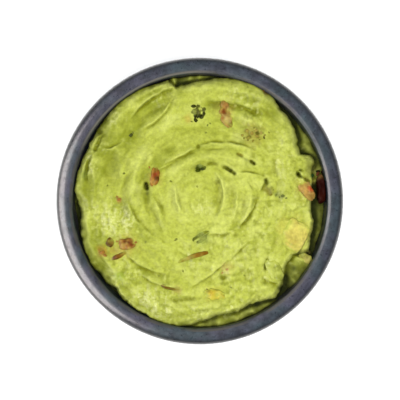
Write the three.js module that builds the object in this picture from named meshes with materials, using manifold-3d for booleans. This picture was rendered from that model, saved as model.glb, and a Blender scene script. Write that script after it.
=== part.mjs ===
// Guacamole in a dark stoneware dip bowl: the bowl is full to the rim, the dip is swirled with a
// spoon, and diced tomato, pepper, onion, avocado and coriander leaf lie in its surface.
// Millimetres, +Z up, the foot ring on z = 0 and the bowl's centre on the Z axis.
import * as THREE from "three";
import Module from "manifold-3d";

const wasm = await Module();
wasm.setup();

// ---------------------------------------------------------------- driving dimensions

const GAP = 0.3; // air between one piece and the next

const BOWL = {
  radius: 60, // outside of the rim
  height: 50,
  mouth: 54, // radius of the opening
  crown: 55.6, // radius of the rim's highest line
  shoulder: 3.5, // how far the rim rolls down to its widest line
  bevel: 0.8, // small slope inside the crown
  floor: 7, // height of the floor inside
  outerFullness: 2.4, // how square the wall's curve is, 2 is an ellipse
  innerFullness: 2.8,
  footOuter: 32,
  footInner: 26,
  footRecess: 2,
  segments: 64,
};

const DIP = {
  edge: 3.0, // level at the wall, below the rim
  dome: 3.5, // how far the middle stands above that
  rings: 30, // rings of corners in the top surface, 6, 12, 18 ... corners in each
  sideCorners: 96,
};

// Spoon marks, each an arc through three places [x, y]. The height is that of the ridge (a trough
// has a negative height), inner and outer are the widths towards the arc's centre and away from it.
const RIDGES = {
  centreGroove: { arc: [[5, 12.5], [8, 4], [4, -8]], height: -1.8, inner: 2.6, outer: 1.2 },
  centreRidge: { arc: [[6.5, 13.5], [10.2, 4], [3, -10.2]], height: 1.3, inner: 1.2, outer: 2.2 },
  centreLip: { arc: [[-10, 8.5], [-9.4, 1], [-6.5, -5.8]], height: 0.6, inner: 1.2, outer: 1.4 },
  secondRidge: { arc: [[14.2, 6], [13.6, -3], [8, -11]], height: 0.9, inner: 1.3, outer: 1.5 },
  thirdGroove: { arc: [[18, 3], [17.2, -2], [13.5, -8]], height: -0.9, inner: 1.5, outer: 1.2 },
  leftTrough: { arc: [[-24.8, 6], [-22.5, -6], [-13, -14]], height: -1.5, inner: 3.2, outer: 3.4 },
  leftRidge: { arc: [[-21, 23], [-28.5, 11], [-30.5, -2]], height: 1.7, inner: 3.2, outer: 3.0 },
  deepCrease: { arc: [[1.5, 15.2], [9, 14.9], [15.6, 10.6]], height: -1.8, inner: 1.3, outer: 1.5 },
  bandRidge: { arc: [[-16, 8], [4, 18], [22, 13.5]], height: 1.6, inner: 2.4, outer: 2.8 },
  topTrough: { arc: [[-18, 20], [-1, 30], [18, 25]], height: -1.7, inner: 4.5, outer: 4.8 },
  leftShoulder: { arc: [[-10.5, 47], [-17, 34], [-21, 20]], height: 2.0, inner: 3.6, outer: 2.0 },
  outerTrough: { arc: [[-11, 47], [-21, 39], [-31, 25]], height: -2.2, inner: 3.4, outer: 3.4 },
  outerRidge: { arc: [[-16, 49.5], [-28.5, 40.5], [-39, 29]], height: 1.6, inner: 1.6, outer: 2.6 },
  leftValley: { arc: [[-35, 22], [-38.5, 14], [-36, 4]], height: -2.4, inner: 4.0, outer: 3.6 },
  leftRim: { arc: [[-45, 22], [-48, 8], [-48, -8]], height: 1.5, inner: 1.8, outer: 1.8 },
  topRidge: { arc: [[-8, 46], [14, 47.5], [33, 38]], height: 2.2, inner: 3.6, outer: 3.6 },
  rightShoulder: { arc: [[29, 38], [35.5, 29], [37, 19]], height: 1.8, inner: 4.5, outer: 3.0 },
  rightBand: { arc: [[33, 22], [37, 12], [35, 1]], height: 1.0, inner: 3.0, outer: 3.0 },
  rightEdge: { arc: [[46.3, 0], [46.8, -9], [45.3, -20]], height: 1.2, inner: 3.5, outer: 1.5 },
  bottomRidge: { arc: [[-15, -46], [-3, -44.6], [12, -43]], height: 1.4, inner: 1.8, outer: 2.4 },
  lowerLeft: { arc: [[-42, -19], [-35, -29], [-24, -38]], height: 1.0, inner: 2.0, outer: 2.0 },
  lowerRight: { arc: [[14, -27], [22, -28], [24, -34]], height: 1.0, inner: 2.4, outer: 2.4 },
};

// Folds, where one sweep of the dip lies over the next. The step is the height of the overlap,
// positive where the side towards the arc's centre is on top.
const FOLDS = {
  island: { arc: [[24.6, 4.4], [21.6, -5.8], [13.5, -12.8]], step: 2.4, inner: 3.0, outer: 1.8 },
  islandLow: { arc: [[14.5, -12.5], [8, -14], [1.5, -13.2]], step: 1.2, inner: 2.0, outer: 1.4 },
  leftSweep: { arc: [[-30, 1], [-26.8, -8.5], [-18, -14.6]], step: -1.6, inner: 2.2, outer: 3.0 },
  band: { arc: [[-17, 14.6], [-7.5, 19.2], [1, 23.2]], step: 1.5, inner: 2.6, outer: 3.0 },
  bandRight: { arc: [[-1, 22.6], [11, 24.8], [24.5, 18]], step: 1.7, inner: 1.8, outer: 2.6 },
  outerSweep: { arc: [[-12, 50], [-23, 40.3], [-31, 33]], step: -1.9, inner: 1.8, outer: 2.0 },
  topSweep: { arc: [[1, 41.6], [15, 39.8], [28.5, 34.6]], step: -2.2, inner: 2.4, outer: 2.0 },
  longLine: { arc: [[21.5, -14.3], [9.5, -26.5], [-7, -37.3]], step: 1.5, inner: 2.5, outer: 1.8 },
  lowerSweep: { arc: [[-28, -29.3], [-18, -34.9], [-7, -37.8]], step: 1.5, inner: 2.4, outer: 1.8 },
};
const FOLD_SHARPNESS = 0.8;

// Gaps between the heap and the wall: direction and half spread in degrees, width and depth.
const WALL_GAPS = {
  right: { at: 8, spread: 42, width: 6.8, depth: 7.0 },
  lowerRight: { at: 326, spread: 16, width: 6.6, depth: 4.0 },
  bottom: { at: 285, spread: 26, width: 4.8, depth: 2.6 },
  lowerLeft: { at: 225, spread: 32, width: 1.6, depth: 5.0 },
  left: { at: 187, spread: 14, width: 3.4, depth: 6.0 },
  upperLeft: { at: 153, spread: 22, width: 1.0, depth: 3.0 },
  top: { at: 95, spread: 17, width: 2.8, depth: 3.0 },
};
const LEAST_GAP = { width: 0.4, depth: 1.0 };
const HEAP_SLOPE = 1.6; // width over which the heap's edge falls away

// Pieces in the surface: place, size [along, across, deep], heading in degrees, how far the top
// stands out of the dip, and how square the piece is (2 is an ellipsoid).
const PIECES = {
  tomato_left: { at: [-19, 10], size: [7.4, 3.6, 3.4], heading: 76, proud: 1.1, colour: 0xb4482a },
  tomato_top: { at: [10.9, 36.2], size: [10, 3.8, 3.2], heading: 104, proud: 1.0, colour: 0xc98a5a },
  tomato_right: { at: [44.6, 4.6], size: [8.6, 4.6, 5.0], heading: 118, proud: 1.2, colour: 0xc46f45 },
  tomato_dice_a: { at: [-30, -18.2], size: [6.6, 3.8, 3.2], heading: 10, proud: 1.1, colour: 0xa8653a },
  tomato_dice_b: { at: [-37.4, -17.4], size: [3.0, 3.0, 2.6], heading: 60, proud: 0.9, colour: 0x9c5a30 },
  tomato_dice_c: { at: [-34.6, -23.2], size: [5.6, 2.4, 2.4], heading: 24, proud: 0.9, colour: 0x94521e },
  pepper_strip: { at: [-2.9, -23.1], size: [12.6, 1.9, 1.9], heading: 17, proud: 0.8, colour: 0xa4562f },
  pepper_shred: { at: [-12.8, -36.0], size: [7.0, 1.3, 1.5], heading: -18, proud: 0.6, colour: 0xa8653a },
  avocado_chunk: { at: [40, -14.2], size: [12, 9.6, 7.0], heading: 62, proud: 1.2, colour: 0xe3da72 },
  avocado_bit: { at: [5.6, -38.4], size: [7.0, 3.2, 2.8], heading: -14, proud: 0.9, colour: 0xdccb52 },
  avocado_edge: { at: [44.6, -23.8], size: [4.4, 3.2, 3.0], heading: -36, proud: 0.9, colour: 0xc9c063 },
  onion_chunk: { at: [31.6, -29.2], size: [10.6, 7.0, 5.6], heading: -62, proud: 1.2, colour: 0xd3dc78 },
};
const PIECE_SQUARENESS = 3.2;

// Leaves: place, size [along, across], heading, thickness and the height of their waves.
const LEAVES = {
  leaf_top: { at: [-0.9, 37], size: [6.6, 4.8], heading: 96, thick: 0.9, wave: 0.5, colour: 0x4d5626 },
  leaf_centre: { at: [0.1, 13.8], size: [4.2, 3.4], heading: 20, thick: 0.8, wave: 0.3, colour: 0x5d6b24 },
  leaf_mid: { at: [0.8, -15], size: [6.8, 4.2], heading: 34, thick: 0.9, wave: 0.4, colour: 0x8b9448 },
};

// A slab of tomato skin stands in the right-hand gap, against the wall.
const SKIN = { turn: 5.4, radius: 51.6, length: 11.6, thick: 2.6, bottom: 38.2, top: 46.8, colour: 0x4a1710 };

const CLAY = 0x50565f;
const GREEN = 0xbdc455;

// ---------------------------------------------------------------- small helpers

const rad = THREE.MathUtils.degToRad;
const smooth = (t) => {
  const c = THREE.MathUtils.clamp(t, 0, 1);
  return c * c * (3 - 2 * c);
};

// A closed skin over rings of corners that run anticlockwise seen from above. The first and the
// last ring are single points, the lowest and the highest of the middle line.
function skin(rings) {
  const corners = rings.flat();
  const faces = [];
  let start = 0;
  for (let k = 0; k + 1 < rings.length; k++) {
    const a = rings[k].length;
    const b = rings[k + 1].length;
    const next = start + a;
    const stepsA = a > 1 ? a : 0;
    const stepsB = b > 1 ? b : 0;
    let i = 0;
    let j = 0;
    while (i < stepsA || j < stepsB) {
      const onA = j >= stepsB || (i < stepsA && (i + 1) * stepsB <= (j + 1) * stepsA);
      const p = start + (i % a);
      const q = next + (j % b);
      if (onA) {
        faces.push(p, start + ((i + 1) % a), q);
        i++;
      } else {
        faces.push(p, next + ((j + 1) % b), q);
        j++;
      }
    }
    start = next;
  }
  const geometry = new THREE.BufferGeometry().setFromPoints(corners);
  geometry.setIndex(faces);
  return geometry;
}

// A ring of corners whose radius and height may depend on the direction.
function ring(count, radiusAt, heightAt) {
  return Array.from({ length: count }, (_, i) => {
    const turn = (2 * Math.PI * i) / count;
    const r = radiusAt(turn);
    return new THREE.Vector3(r * Math.cos(turn), r * Math.sin(turn), heightAt(turn));
  });
}

const solidOf = (geometry) =>
  new wasm.Manifold(
    new wasm.Mesh({
      numProp: 3,
      vertProperties: geometry.attributes.position.array,
      triVerts: new Uint32Array(geometry.index.array),
    }),
  );

function geometryOf(solid) {
  const { vertProperties, triVerts } = solid.getMesh();
  const geometry = new THREE.BufferGeometry();
  geometry.setAttribute("position", new THREE.BufferAttribute(vertProperties, 3));
  geometry.setIndex(new THREE.BufferAttribute(triVerts, 1));
  return geometry;
}

function piece(name, geometry, colour, roughness) {
  geometry.computeVertexNormals();
  const material = new THREE.MeshStandardMaterial({ color: colour, roughness, metalness: 0 });
  const mesh = new THREE.Mesh(geometry, material);
  mesh.name = name;
  return mesh;
}

// ---------------------------------------------------------------- bowl

const bellyHeight = BOWL.height - BOWL.shoulder;
const lipHeight = BOWL.height - BOWL.bevel - 0.2; // where the wall inside stops and the bevel starts

// Radius and height on the wall inside, for an angle of 0 at the rim and 90 degrees at the middle
// of the floor, moved inwards by a margin.
function insideAt(angle, margin) {
  const fall = Math.pow(Math.sin(angle), 2 / BOWL.innerFullness);
  return [
    (BOWL.mouth - margin) * Math.cos(angle),
    lipHeight - (lipHeight - BOWL.floor - margin) * fall,
  ];
}

// Radius of the wall inside at a height.
function insideRadius(height, margin) {
  const fall = Math.max(0, (lipHeight - height) / (lipHeight - BOWL.floor - margin));
  return (BOWL.mouth - margin) * Math.sqrt(1 - Math.pow(fall, BOWL.innerFullness));
}

const INSIDE_ANGLES = [84, 76, 68, 60, 52, 44, 35, 26, 16, 7, 0].map(rad);

function bowlProfile() {
  const outline = [];
  outline.push([BOWL.footInner - 0.6, BOWL.footRecess]);
  outline.push([BOWL.footInner, 0.6]);
  outline.push([BOWL.footInner + 0.7, 0]);
  outline.push([BOWL.footOuter - 1.2, 0]);
  outline.push([BOWL.footOuter - 0.3, 0.9]);
  const widest = Math.acos(BOWL.footOuter / BOWL.radius);
  for (let i = 8; i >= 0; i--) {
    const angle = (widest * i) / 8;
    const fall = Math.pow(Math.sin(angle), 2 / BOWL.outerFullness);
    outline.push([BOWL.radius * Math.cos(angle), bellyHeight * (1 - fall)]);
  }
  for (let i = 1; i <= 4; i++) {
    const angle = (Math.PI / 2) * (1 - i / 4);
    outline.push([
      BOWL.crown + (BOWL.radius - BOWL.crown) * Math.sin(angle),
      bellyHeight + BOWL.shoulder * Math.cos(angle),
    ]);
  }
  outline.push([BOWL.mouth + BOWL.bevel, BOWL.height - 0.25]);
  INSIDE_ANGLES.toReversed().forEach((angle) => outline.push(insideAt(angle, 0)));
  return outline;
}

function makeBowl() {
  const rings = bowlProfile().map(([r, z]) => ring(BOWL.segments, () => r, () => z));
  const underside = [new THREE.Vector3(0, 0, BOWL.footRecess)];
  const floor = [new THREE.Vector3(0, 0, BOWL.floor)];
  return piece("bowl", skin([underside, ...rings, floor]), CLAY, 0.45);
}

// ---------------------------------------------------------------- surface of the dip

// The circle through an arc's three places, and the part of it that the arc covers.
function circleOf([[ax, ay], [bx, by], [cx, cy]]) {
  const d = 2 * (ax * (by - cy) + bx * (cy - ay) + cx * (ay - by));
  const a2 = ax * ax + ay * ay;
  const b2 = bx * bx + by * by;
  const c2 = cx * cx + cy * cy;
  const x = (a2 * (by - cy) + b2 * (cy - ay) + c2 * (ay - by)) / d;
  const y = (a2 * (cx - bx) + b2 * (ax - cx) + c2 * (bx - ax)) / d;
  const full = 2 * Math.PI;
  const turn = (px, py) => Math.atan2(py - y, px - x);
  const ahead = (angle) => ((angle % full) + full) % full;
  let from = turn(ax, ay);
  let span = ahead(turn(cx, cy) - from);
  if (ahead(turn(bx, by) - from) > span) {
    from = turn(cx, cy);
    span = full - span;
  }
  return { x, y, radius: Math.hypot(ax - x, ay - y), middle: from + span / 2, span };
}

// How far a place lies outside the arc, and how much the mark has faded there past its ends.
function besideArc(circle, x, y) {
  const dx = x - circle.x;
  const dy = y - circle.y;
  let off = Math.atan2(dy, dx) - circle.middle;
  off -= 2 * Math.PI * Math.round(off / (2 * Math.PI));
  const length = circle.radius * circle.span;
  const left = (circle.span / 2 - Math.abs(off)) * circle.radius;
  const fade = smooth(left / Math.min(6, length / 2) + 0.1);
  return [Math.hypot(dx, dy) - circle.radius, fade];
}

const ridges = Object.values(RIDGES).map((mark) => ({ ...mark, circle: circleOf(mark.arc) }));
const folds = Object.values(FOLDS).map((mark) => ({ ...mark, circle: circleOf(mark.arc) }));

function ridgeHeight(mark, x, y) {
  const [off, fade] = besideArc(mark.circle, x, y);
  const width = off < 0 ? mark.inner : mark.outer;
  return mark.height * Math.exp(-((off / width) ** 2)) * fade;
}

function foldHeight(mark, x, y) {
  const [off, fade] = besideArc(mark.circle, x, y);
  const width = off < 0 ? mark.inner : mark.outer;
  const side = Math.tanh(off / FOLD_SHARPNESS);
  return -0.75 * mark.step * side * Math.exp(-Math.abs(off) / width) * fade;
}

// How far the heap stays from the wall and how deep the gap is, in a direction.
function wallGap(turn) {
  let { width, depth } = LEAST_GAP;
  for (const gap of Object.values(WALL_GAPS)) {
    let off = THREE.MathUtils.radToDeg(turn) - gap.at;
    off -= 360 * Math.round(off / 360);
    const share = smooth(2 - (2 * Math.abs(off)) / gap.spread);
    width += gap.width * share;
    depth += gap.depth * share;
  }
  return { width, depth };
}

function surface(x, y) {
  const r = Math.hypot(x, y);
  const level = BOWL.height - DIP.edge;
  let height = level + DIP.dome * (1 - (r / BOWL.mouth) ** 2);
  for (const mark of ridges) height += ridgeHeight(mark, x, y);
  for (const mark of folds) height += foldHeight(mark, x, y);
  const { width, depth } = wallGap(Math.atan2(y, x));
  const past = smooth((r - (BOWL.mouth - width)) / HEAP_SLOPE);
  return height * (1 - past) + Math.min(height, level - depth) * past;
}

// ---------------------------------------------------------------- dip

function makeDip() {
  const margin = GAP + 0.06; // the wall's flats come in a little between its corners
  const edgeHeight = (turn) => surface(BOWL.mouth * Math.cos(turn), BOWL.mouth * Math.sin(turn));
  const edgeRadius = (turn) => insideRadius(edgeHeight(turn), margin);
  const rings = [[new THREE.Vector3(0, 0, BOWL.floor + margin)]];
  const corners = [12, 24, 32, 48, 64, 64, 80];
  corners.forEach((count, i) => {
    const [r, z] = insideAt(INSIDE_ANGLES[i], margin);
    rings.push(ring(count, () => r, () => z));
  });
  const lowest = rings.at(-1)[0].z;
  for (const share of [0.35, 0.7]) {
    const height = (turn) => lowest + share * (edgeHeight(turn) - lowest);
    rings.push(ring(DIP.sideCorners, (turn) => insideRadius(height(turn), margin), height));
  }
  for (let k = DIP.rings; k > 0; k--) {
    const radius = (turn) => (edgeRadius(turn) * k) / DIP.rings;
    const height = (turn) => surface(radius(turn) * Math.cos(turn), radius(turn) * Math.sin(turn));
    rings.push(ring(6 * k, radius, k === DIP.rings ? edgeHeight : height));
  }
  rings.push([new THREE.Vector3(0, 0, surface(0, 0))]);
  return skin(rings);
}

// ---------------------------------------------------------------- pieces in the dip

// A diced piece as an uneven, rounded block about its own middle, grown on every side.
function block(size, squareness, grow) {
  const geometry = new THREE.IcosahedronGeometry(1, 1);
  const place = geometry.attributes.position;
  const half = size.map((s) => s / 2 + grow);
  for (let i = 0; i < place.count; i++) {
    const v = [place.getX(i), place.getY(i), place.getZ(i)];
    const reach = v.reduce((sum, c) => sum + Math.abs(c) ** squareness, 0) ** (-1 / squareness);
    const uneven = 1 + 0.05 * Math.sin(5 * v[0] + 3 * v[1]) + 0.04 * Math.cos(4 * v[1] - 5 * v[2]);
    place.setXYZ(i, ...v.map((c, k) => c * reach * uneven * half[k]));
  }
  return geometry;
}

// A leaf as a thin wavy plate with a pointed tip, grown on every side.
function leafPlate(size, thick, wave, grow) {
  const stations = 8;
  const around = 8;
  const rings = [];
  for (let i = 1; i < stations; i++) {
    const along = i / stations;
    const half = (size[1] / 2) * Math.sin(Math.PI * along ** 0.8) + grow;
    const x = (along - 0.5) * (size[0] + 2 * grow);
    rings.push(
      Array.from({ length: around }, (_, k) => {
        const turn = (2 * Math.PI * k) / around;
        const across = half * Math.cos(turn);
        const lift = wave * Math.sin(2.6 * Math.PI * along + across);
        return new THREE.Vector3(x, across, lift + (thick / 2 + grow) * Math.sin(turn));
      }),
    );
  }
  const stem = [new THREE.Vector3(-size[0] / 2 - grow, 0, 0)];
  const tip = [new THREE.Vector3(size[0] / 2 + grow, 0, wave * Math.sin(2.6 * Math.PI))];
  return skin([stem, ...rings, tip]);
}

function solidFrom(geometry) {
  const plain = geometry.index ? geometry.toNonIndexed() : geometry;
  const keys = new Map();
  const corners = [];
  const faces = [];
  const place = plain.attributes.position;
  for (let i = 0; i < place.count; i++) {
    const corner = [place.getX(i), place.getY(i), place.getZ(i)];
    const key = corner.map((c) => c.toFixed(3)).join();
    if (!keys.has(key)) {
      keys.set(key, keys.size);
      corners.push(...corner);
    }
    faces.push(keys.get(key));
  }
  const joined = new THREE.BufferGeometry();
  joined.setAttribute("position", new THREE.BufferAttribute(new Float32Array(corners), 3));
  joined.setIndex(faces);
  return solidOf(joined);
}

// Turns a piece to its heading, leans it with the surface and sets it at its place.
function settle(geometry, { at: [x, y], heading }, middle) {
  const step = 1.5;
  const slopeX = (surface(x + step, y) - surface(x - step, y)) / (2 * step);
  const slopeY = (surface(x, y + step) - surface(x, y - step)) / (2 * step);
  const up = new THREE.Vector3(-slopeX, -slopeY, 1).normalize();
  const lean = new THREE.Quaternion().setFromUnitVectors(new THREE.Vector3(0, 0, 1), up);
  geometry.rotateZ(rad(heading));
  geometry.applyQuaternion(lean);
  geometry.translate(x, y, middle);
  return geometry;
}

function diced(spec, grow) {
  const [x, y] = spec.at;
  const middle = surface(x, y) + spec.proud - spec.size[2] / 2;
  return solidFrom(settle(block(spec.size, PIECE_SQUARENESS, grow), spec, middle));
}

function leaf(spec, grow) {
  const [x, y] = spec.at;
  const middle = surface(x, y) + spec.thick / 2 - 0.25;
  return solidFrom(settle(leafPlate(spec.size, spec.thick, spec.wave, grow), spec, middle));
}

function skinSlab(grow) {
  const height = SKIN.top - SKIN.bottom;
  const geometry = block([SKIN.thick, SKIN.length, height], 5, grow);
  const place = geometry.attributes.position;
  for (let i = 0; i < place.count; i++) {
    const r = SKIN.radius + place.getX(i);
    const turn = rad(SKIN.turn) + place.getY(i) / SKIN.radius;
    const z = (SKIN.bottom + SKIN.top) / 2 + place.getZ(i);
    place.setXYZ(i, r * Math.cos(turn), r * Math.sin(turn), z);
  }
  return solidFrom(geometry);
}

// ---------------------------------------------------------------- assembly

const bowlOfGuacamole = new THREE.Group();
bowlOfGuacamole.name = "bowl_of_guacamole";
bowlOfGuacamole.add(makeBowl());

let dip = solidFrom(makeDip());
const pieces = [];

function add(name, make, colour, roughness) {
  dip = dip.subtract(make(GAP));
  pieces.push(piece(name, geometryOf(make(0)), colour, roughness));
}

for (const [name, spec] of Object.entries(PIECES)) {
  add(name, (grow) => diced(spec, grow), spec.colour, 0.35);
}
for (const [name, spec] of Object.entries(LEAVES)) {
  add(name, (grow) => leaf(spec, grow), spec.colour, 0.5);
}
add("tomato_skin", skinSlab, SKIN.colour, 0.3);

bowlOfGuacamole.add(piece("guacamole", geometryOf(dip), GREEN, 0.4));
bowlOfGuacamole.add(...pieces);

export default bowlOfGuacamole;
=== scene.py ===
"""Guacamole in a dark stoneware dip bowl: the finish of the glaze, the swirled dip and everything in it."""
import math
import bpy
import numpy as np
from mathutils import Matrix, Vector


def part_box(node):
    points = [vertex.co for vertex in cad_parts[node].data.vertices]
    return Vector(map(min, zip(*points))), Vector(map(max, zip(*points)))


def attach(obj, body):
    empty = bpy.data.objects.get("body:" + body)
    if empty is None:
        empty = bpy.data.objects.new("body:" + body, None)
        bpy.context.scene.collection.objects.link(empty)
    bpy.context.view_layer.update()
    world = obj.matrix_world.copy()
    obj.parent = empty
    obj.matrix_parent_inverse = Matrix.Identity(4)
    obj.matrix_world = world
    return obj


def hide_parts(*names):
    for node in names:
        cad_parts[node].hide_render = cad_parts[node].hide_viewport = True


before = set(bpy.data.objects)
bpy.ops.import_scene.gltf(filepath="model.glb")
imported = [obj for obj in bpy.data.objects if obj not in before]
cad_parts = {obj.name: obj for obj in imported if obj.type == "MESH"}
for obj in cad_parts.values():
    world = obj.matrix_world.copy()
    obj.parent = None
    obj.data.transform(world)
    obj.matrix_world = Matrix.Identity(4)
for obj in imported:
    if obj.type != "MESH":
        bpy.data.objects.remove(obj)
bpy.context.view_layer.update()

# ---------------------------------------------------------------- driving sizes, in millimetres

MM = 0.001  # a millimetre in the frame's metres

RIM_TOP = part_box("bowl")[1][2] / MM     # height of the rim's highest line
RIM_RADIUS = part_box("bowl")[1][0] / MM  # outside of the rim
MOUTH_RADIUS = 53.3                     # radius of the opening
CROWN_RADIUS = 55.1                     # radius of the rim's highest line
SHOULDER = 3.5                          # how far the rim rolls down to its widest line
BEVEL = 0.75                            # small slope inside the crown
FLOOR_HEIGHT = 7.0                      # floor inside
OUTER_FULLNESS = 2.4                    # how square the wall's curve is, 2 is an ellipse
INNER_FULLNESS = 2.8
FOOT_OUTER, FOOT_INNER, FOOT_RECESS = 32.0, 26.0, 2.0
BOWL_SIDES = 160
BELLY = RIM_TOP - SHOULDER              # height of the widest line
LIP = RIM_TOP - BEVEL - 0.2             # height where the bevel meets the wall inside

DIP_LEVEL = RIM_TOP - 3.0               # level of the dip at the wall
DIP_DOME = 3.5                          # how far its middle stands above that
SHADE_LEVEL = DIP_LEVEL - 1.2           # below this the dip lies in the shade of the gap
DIP_CELLS = 290                         # squares along each side of the grid that becomes its surface
WALL_CLEARANCE = 0.05
SIDE_DEPTHS = (0.35, 0.6, 0.8, 0.92, 1.0)  # rings down the dip's side, as shares of its depth

# ---------------------------------------------------------------- spoon marks in the dip
# An arc runs through three places (x, y). A ridge has its height and its widths towards the arc's
# centre and away from it; a trough has a negative height.

RIDGES = {
    "leaf_slot": ((-22.5, 8.0), (-22.3, 6.2), (-21.5, 4.4), -2.6, 0.6, 0.6),
    "centre_groove": ((4.6, 11.4), (7.0, 6.0), (5.2, -3.8), -0.6, 2.2, 0.9),
    "centre_ridge": ((5.9, 13.0), (9.9, 4.0), (6.2, -8.2), 1.0, 0.7, 1.5),
    "centre_lip": ((-10.2, 8.5), (-9.8, 1.0), (-6.9, -5.8), 1.2, 0.6, 1.1),
    "second_groove": ((13.0, 7.5), (13.2, 0.5), (10.6, -7.0), -0.15, 0.8, 0.7),
    "second_ridge": ((15.0, 6.6), (15.4, -1.0), (12.6, -9.4), 0.7, 0.8, 0.8),
    "third_groove": ((18.2, 3.6), (18.4, -1.0), (16.6, -5.0), -0.6, 0.8, 0.7),
    "third_ridge": ((20.9, 4.2), (20.6, -2.0), (17.6, -8.0), 0.6, 0.9, 0.7),
    "left_trough": ((-22.3, 9.0), (-21.2, -3.0), (-14.4, -12.0), -0.9, 1.5, 1.8),
    "left_ridge": ((-22.0, 23.0), (-27.0, 10.0), (-26.0, -6.0), 1.4, 1.8, 2.6),
    "deep_crease": ((8.6, 15.0), (12.2, 13.0), (15.4, 10.8), -2.1, 0.55, 0.7),
    "crease_start": ((1.8, 13.4), (4.4, 15.6), (8.2, 14.9), -0.8, 0.8, 0.6),
    "upper_left_crease": ((-39.5, 28.8), (-42.2, 24.8), (-44.2, 20.4), -1.3, 0.6, 0.7),
    "band_ridge": ((-13.0, 10.5), (4.0, 18.6), (22.0, 14.0), 1.5, 2.2, 2.8),
    "band_line": ((2.0, 21.2), (6.0, 21.6), (10.5, 21.8), -0.6, 0.45, 0.5),
    "mark_crease": ((14.0, 19.8), (19.0, 17.9), (23.5, 15.0), -0.5, 0.5, 0.6),
    "top_trough": ((-18.0, 20.0), (-1.0, 30.0), (18.0, 25.0), -1.2, 4.6, 4.8),
    "left_shoulder": ((-9.0, 46.0), (-12.6, 34.0), (-18.0, 22.0), 1.0, 3.0, 3.2),
    "outer_trough": ((-9.0, 45.4), (-19.5, 38.0), (-28.0, 30.0), -1.6, 3.0, 3.0),
    "outer_ridge": ((-16.0, 49.5), (-28.5, 40.5), (-37.0, 30.0), 1.1, 1.8, 2.4),
    "left_valley": ((-35.0, 22.0), (-38.0, 14.0), (-35.5, 5.0), -1.1, 3.6, 3.2),
    "left_outer_ridge": ((-43.0, 23.0), (-44.2, 15.0), (-42.5, 6.0), 1.0, 1.8, 1.8),
    "left_rim_line": ((-45.4, 18.8), (-47.3, 13.0), (-47.0, 7.0), -1.8, 0.55, 0.6),
    "top_ridge": ((-8.0, 46.4), (12.0, 47.3), (31.0, 39.0), 1.5, 3.2, 3.0),
    "top_crease": ((0.5, 41.4), (13.0, 40.1), (27.0, 35.7), -1.0, 1.6, 1.5),
    "top_lumps": ((14.0, 35.0), (19.0, 34.4), (24.0, 32.0), 1.1, 1.5, 1.5),
    "right_shoulder": ((29.0, 37.0), (35.0, 29.0), (36.5, 19.0), 1.0, 4.2, 3.0),
    "right_valley": ((24.0, 24.0), (29.5, 18.0), (30.0, 8.0), -0.6, 3.0, 3.0),
    "right_band": ((33.0, 22.0), (37.0, 12.0), (35.0, 1.0), 0.8, 3.0, 3.0),
    "right_edge": ((45.2, 0.0), (45.9, -8.0), (45.3, -16.0), 1.0, 3.0, 1.5),
    "chunk_line": ((32.0, -8.2), (36.0, -7.4), (41.0, -8.0), -0.6, 0.6, 0.9),
    "bottom_valley": ((-13.0, -41.1), (-7.0, -41.0), (0.0, -40.4), -0.9, 0.7, 0.8),
    "bottom_ridge": ((-15.0, -46.0), (-3.0, -44.6), (12.0, -43.0), 0.9, 1.8, 2.4),
    "onion_side": ((28.6, -23.0), (27.8, -26.0), (27.2, -29.8), -2.4, 0.55, 0.6),
    "onion_gap": ((36.5, -25.4), (36.1, -30.4), (34.0, -36.6), -2.4, 0.8, 0.9),
    "island_cut": ((23.8, 2.8), (22.7, -0.6), (21.7, -3.8), -1.3, 0.5, 0.7),
    "mark_a": ((15.0, 19.8), (16.7, 19.3), (18.4, 18.5), -1.0, 0.4, 0.4),
    "mark_b": ((20.7, 17.3), (22.1, 16.2), (23.4, 14.9), -1.7, 0.5, 0.5),
    "ledge_hook": ((41.0, 12.6), (41.2, 10.9), (42.9, 9.9), -2.0, 0.45, 0.5),
    "ledge_hook_top": ((41.0, 12.3), (42.2, 12.8), (43.5, 12.3), -1.2, 0.4, 0.4),
    "tip_gap": ((26.8, 9.7), (27.8, 8.3), (28.3, 6.8), -1.2, 0.55, 0.6),
    "ledge_gap": ((43.0, 9.2), (45.2, 8.3), (47.2, 7.0), -2.4, 0.55, 0.55),
    "left_bulge": ((-46.5, -3.0), (-47.2, -8.0), (-45.0, -16.0), 0.8, 2.0, 2.0),
    "lower_left_ridge": ((-42.0, -19.0), (-35.0, -29.0), (-24.0, -38.0), 0.8, 2.0, 2.0),
    "lower_right_lump": ((14.0, -27.0), (22.0, -28.0), (24.0, -34.0), 0.9, 2.4, 2.4),
    "corner_lump": ((20.0, -37.0), (27.0, -36.0), (31.0, -38.5), 1.2, 2.2, 2.0),
}

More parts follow.
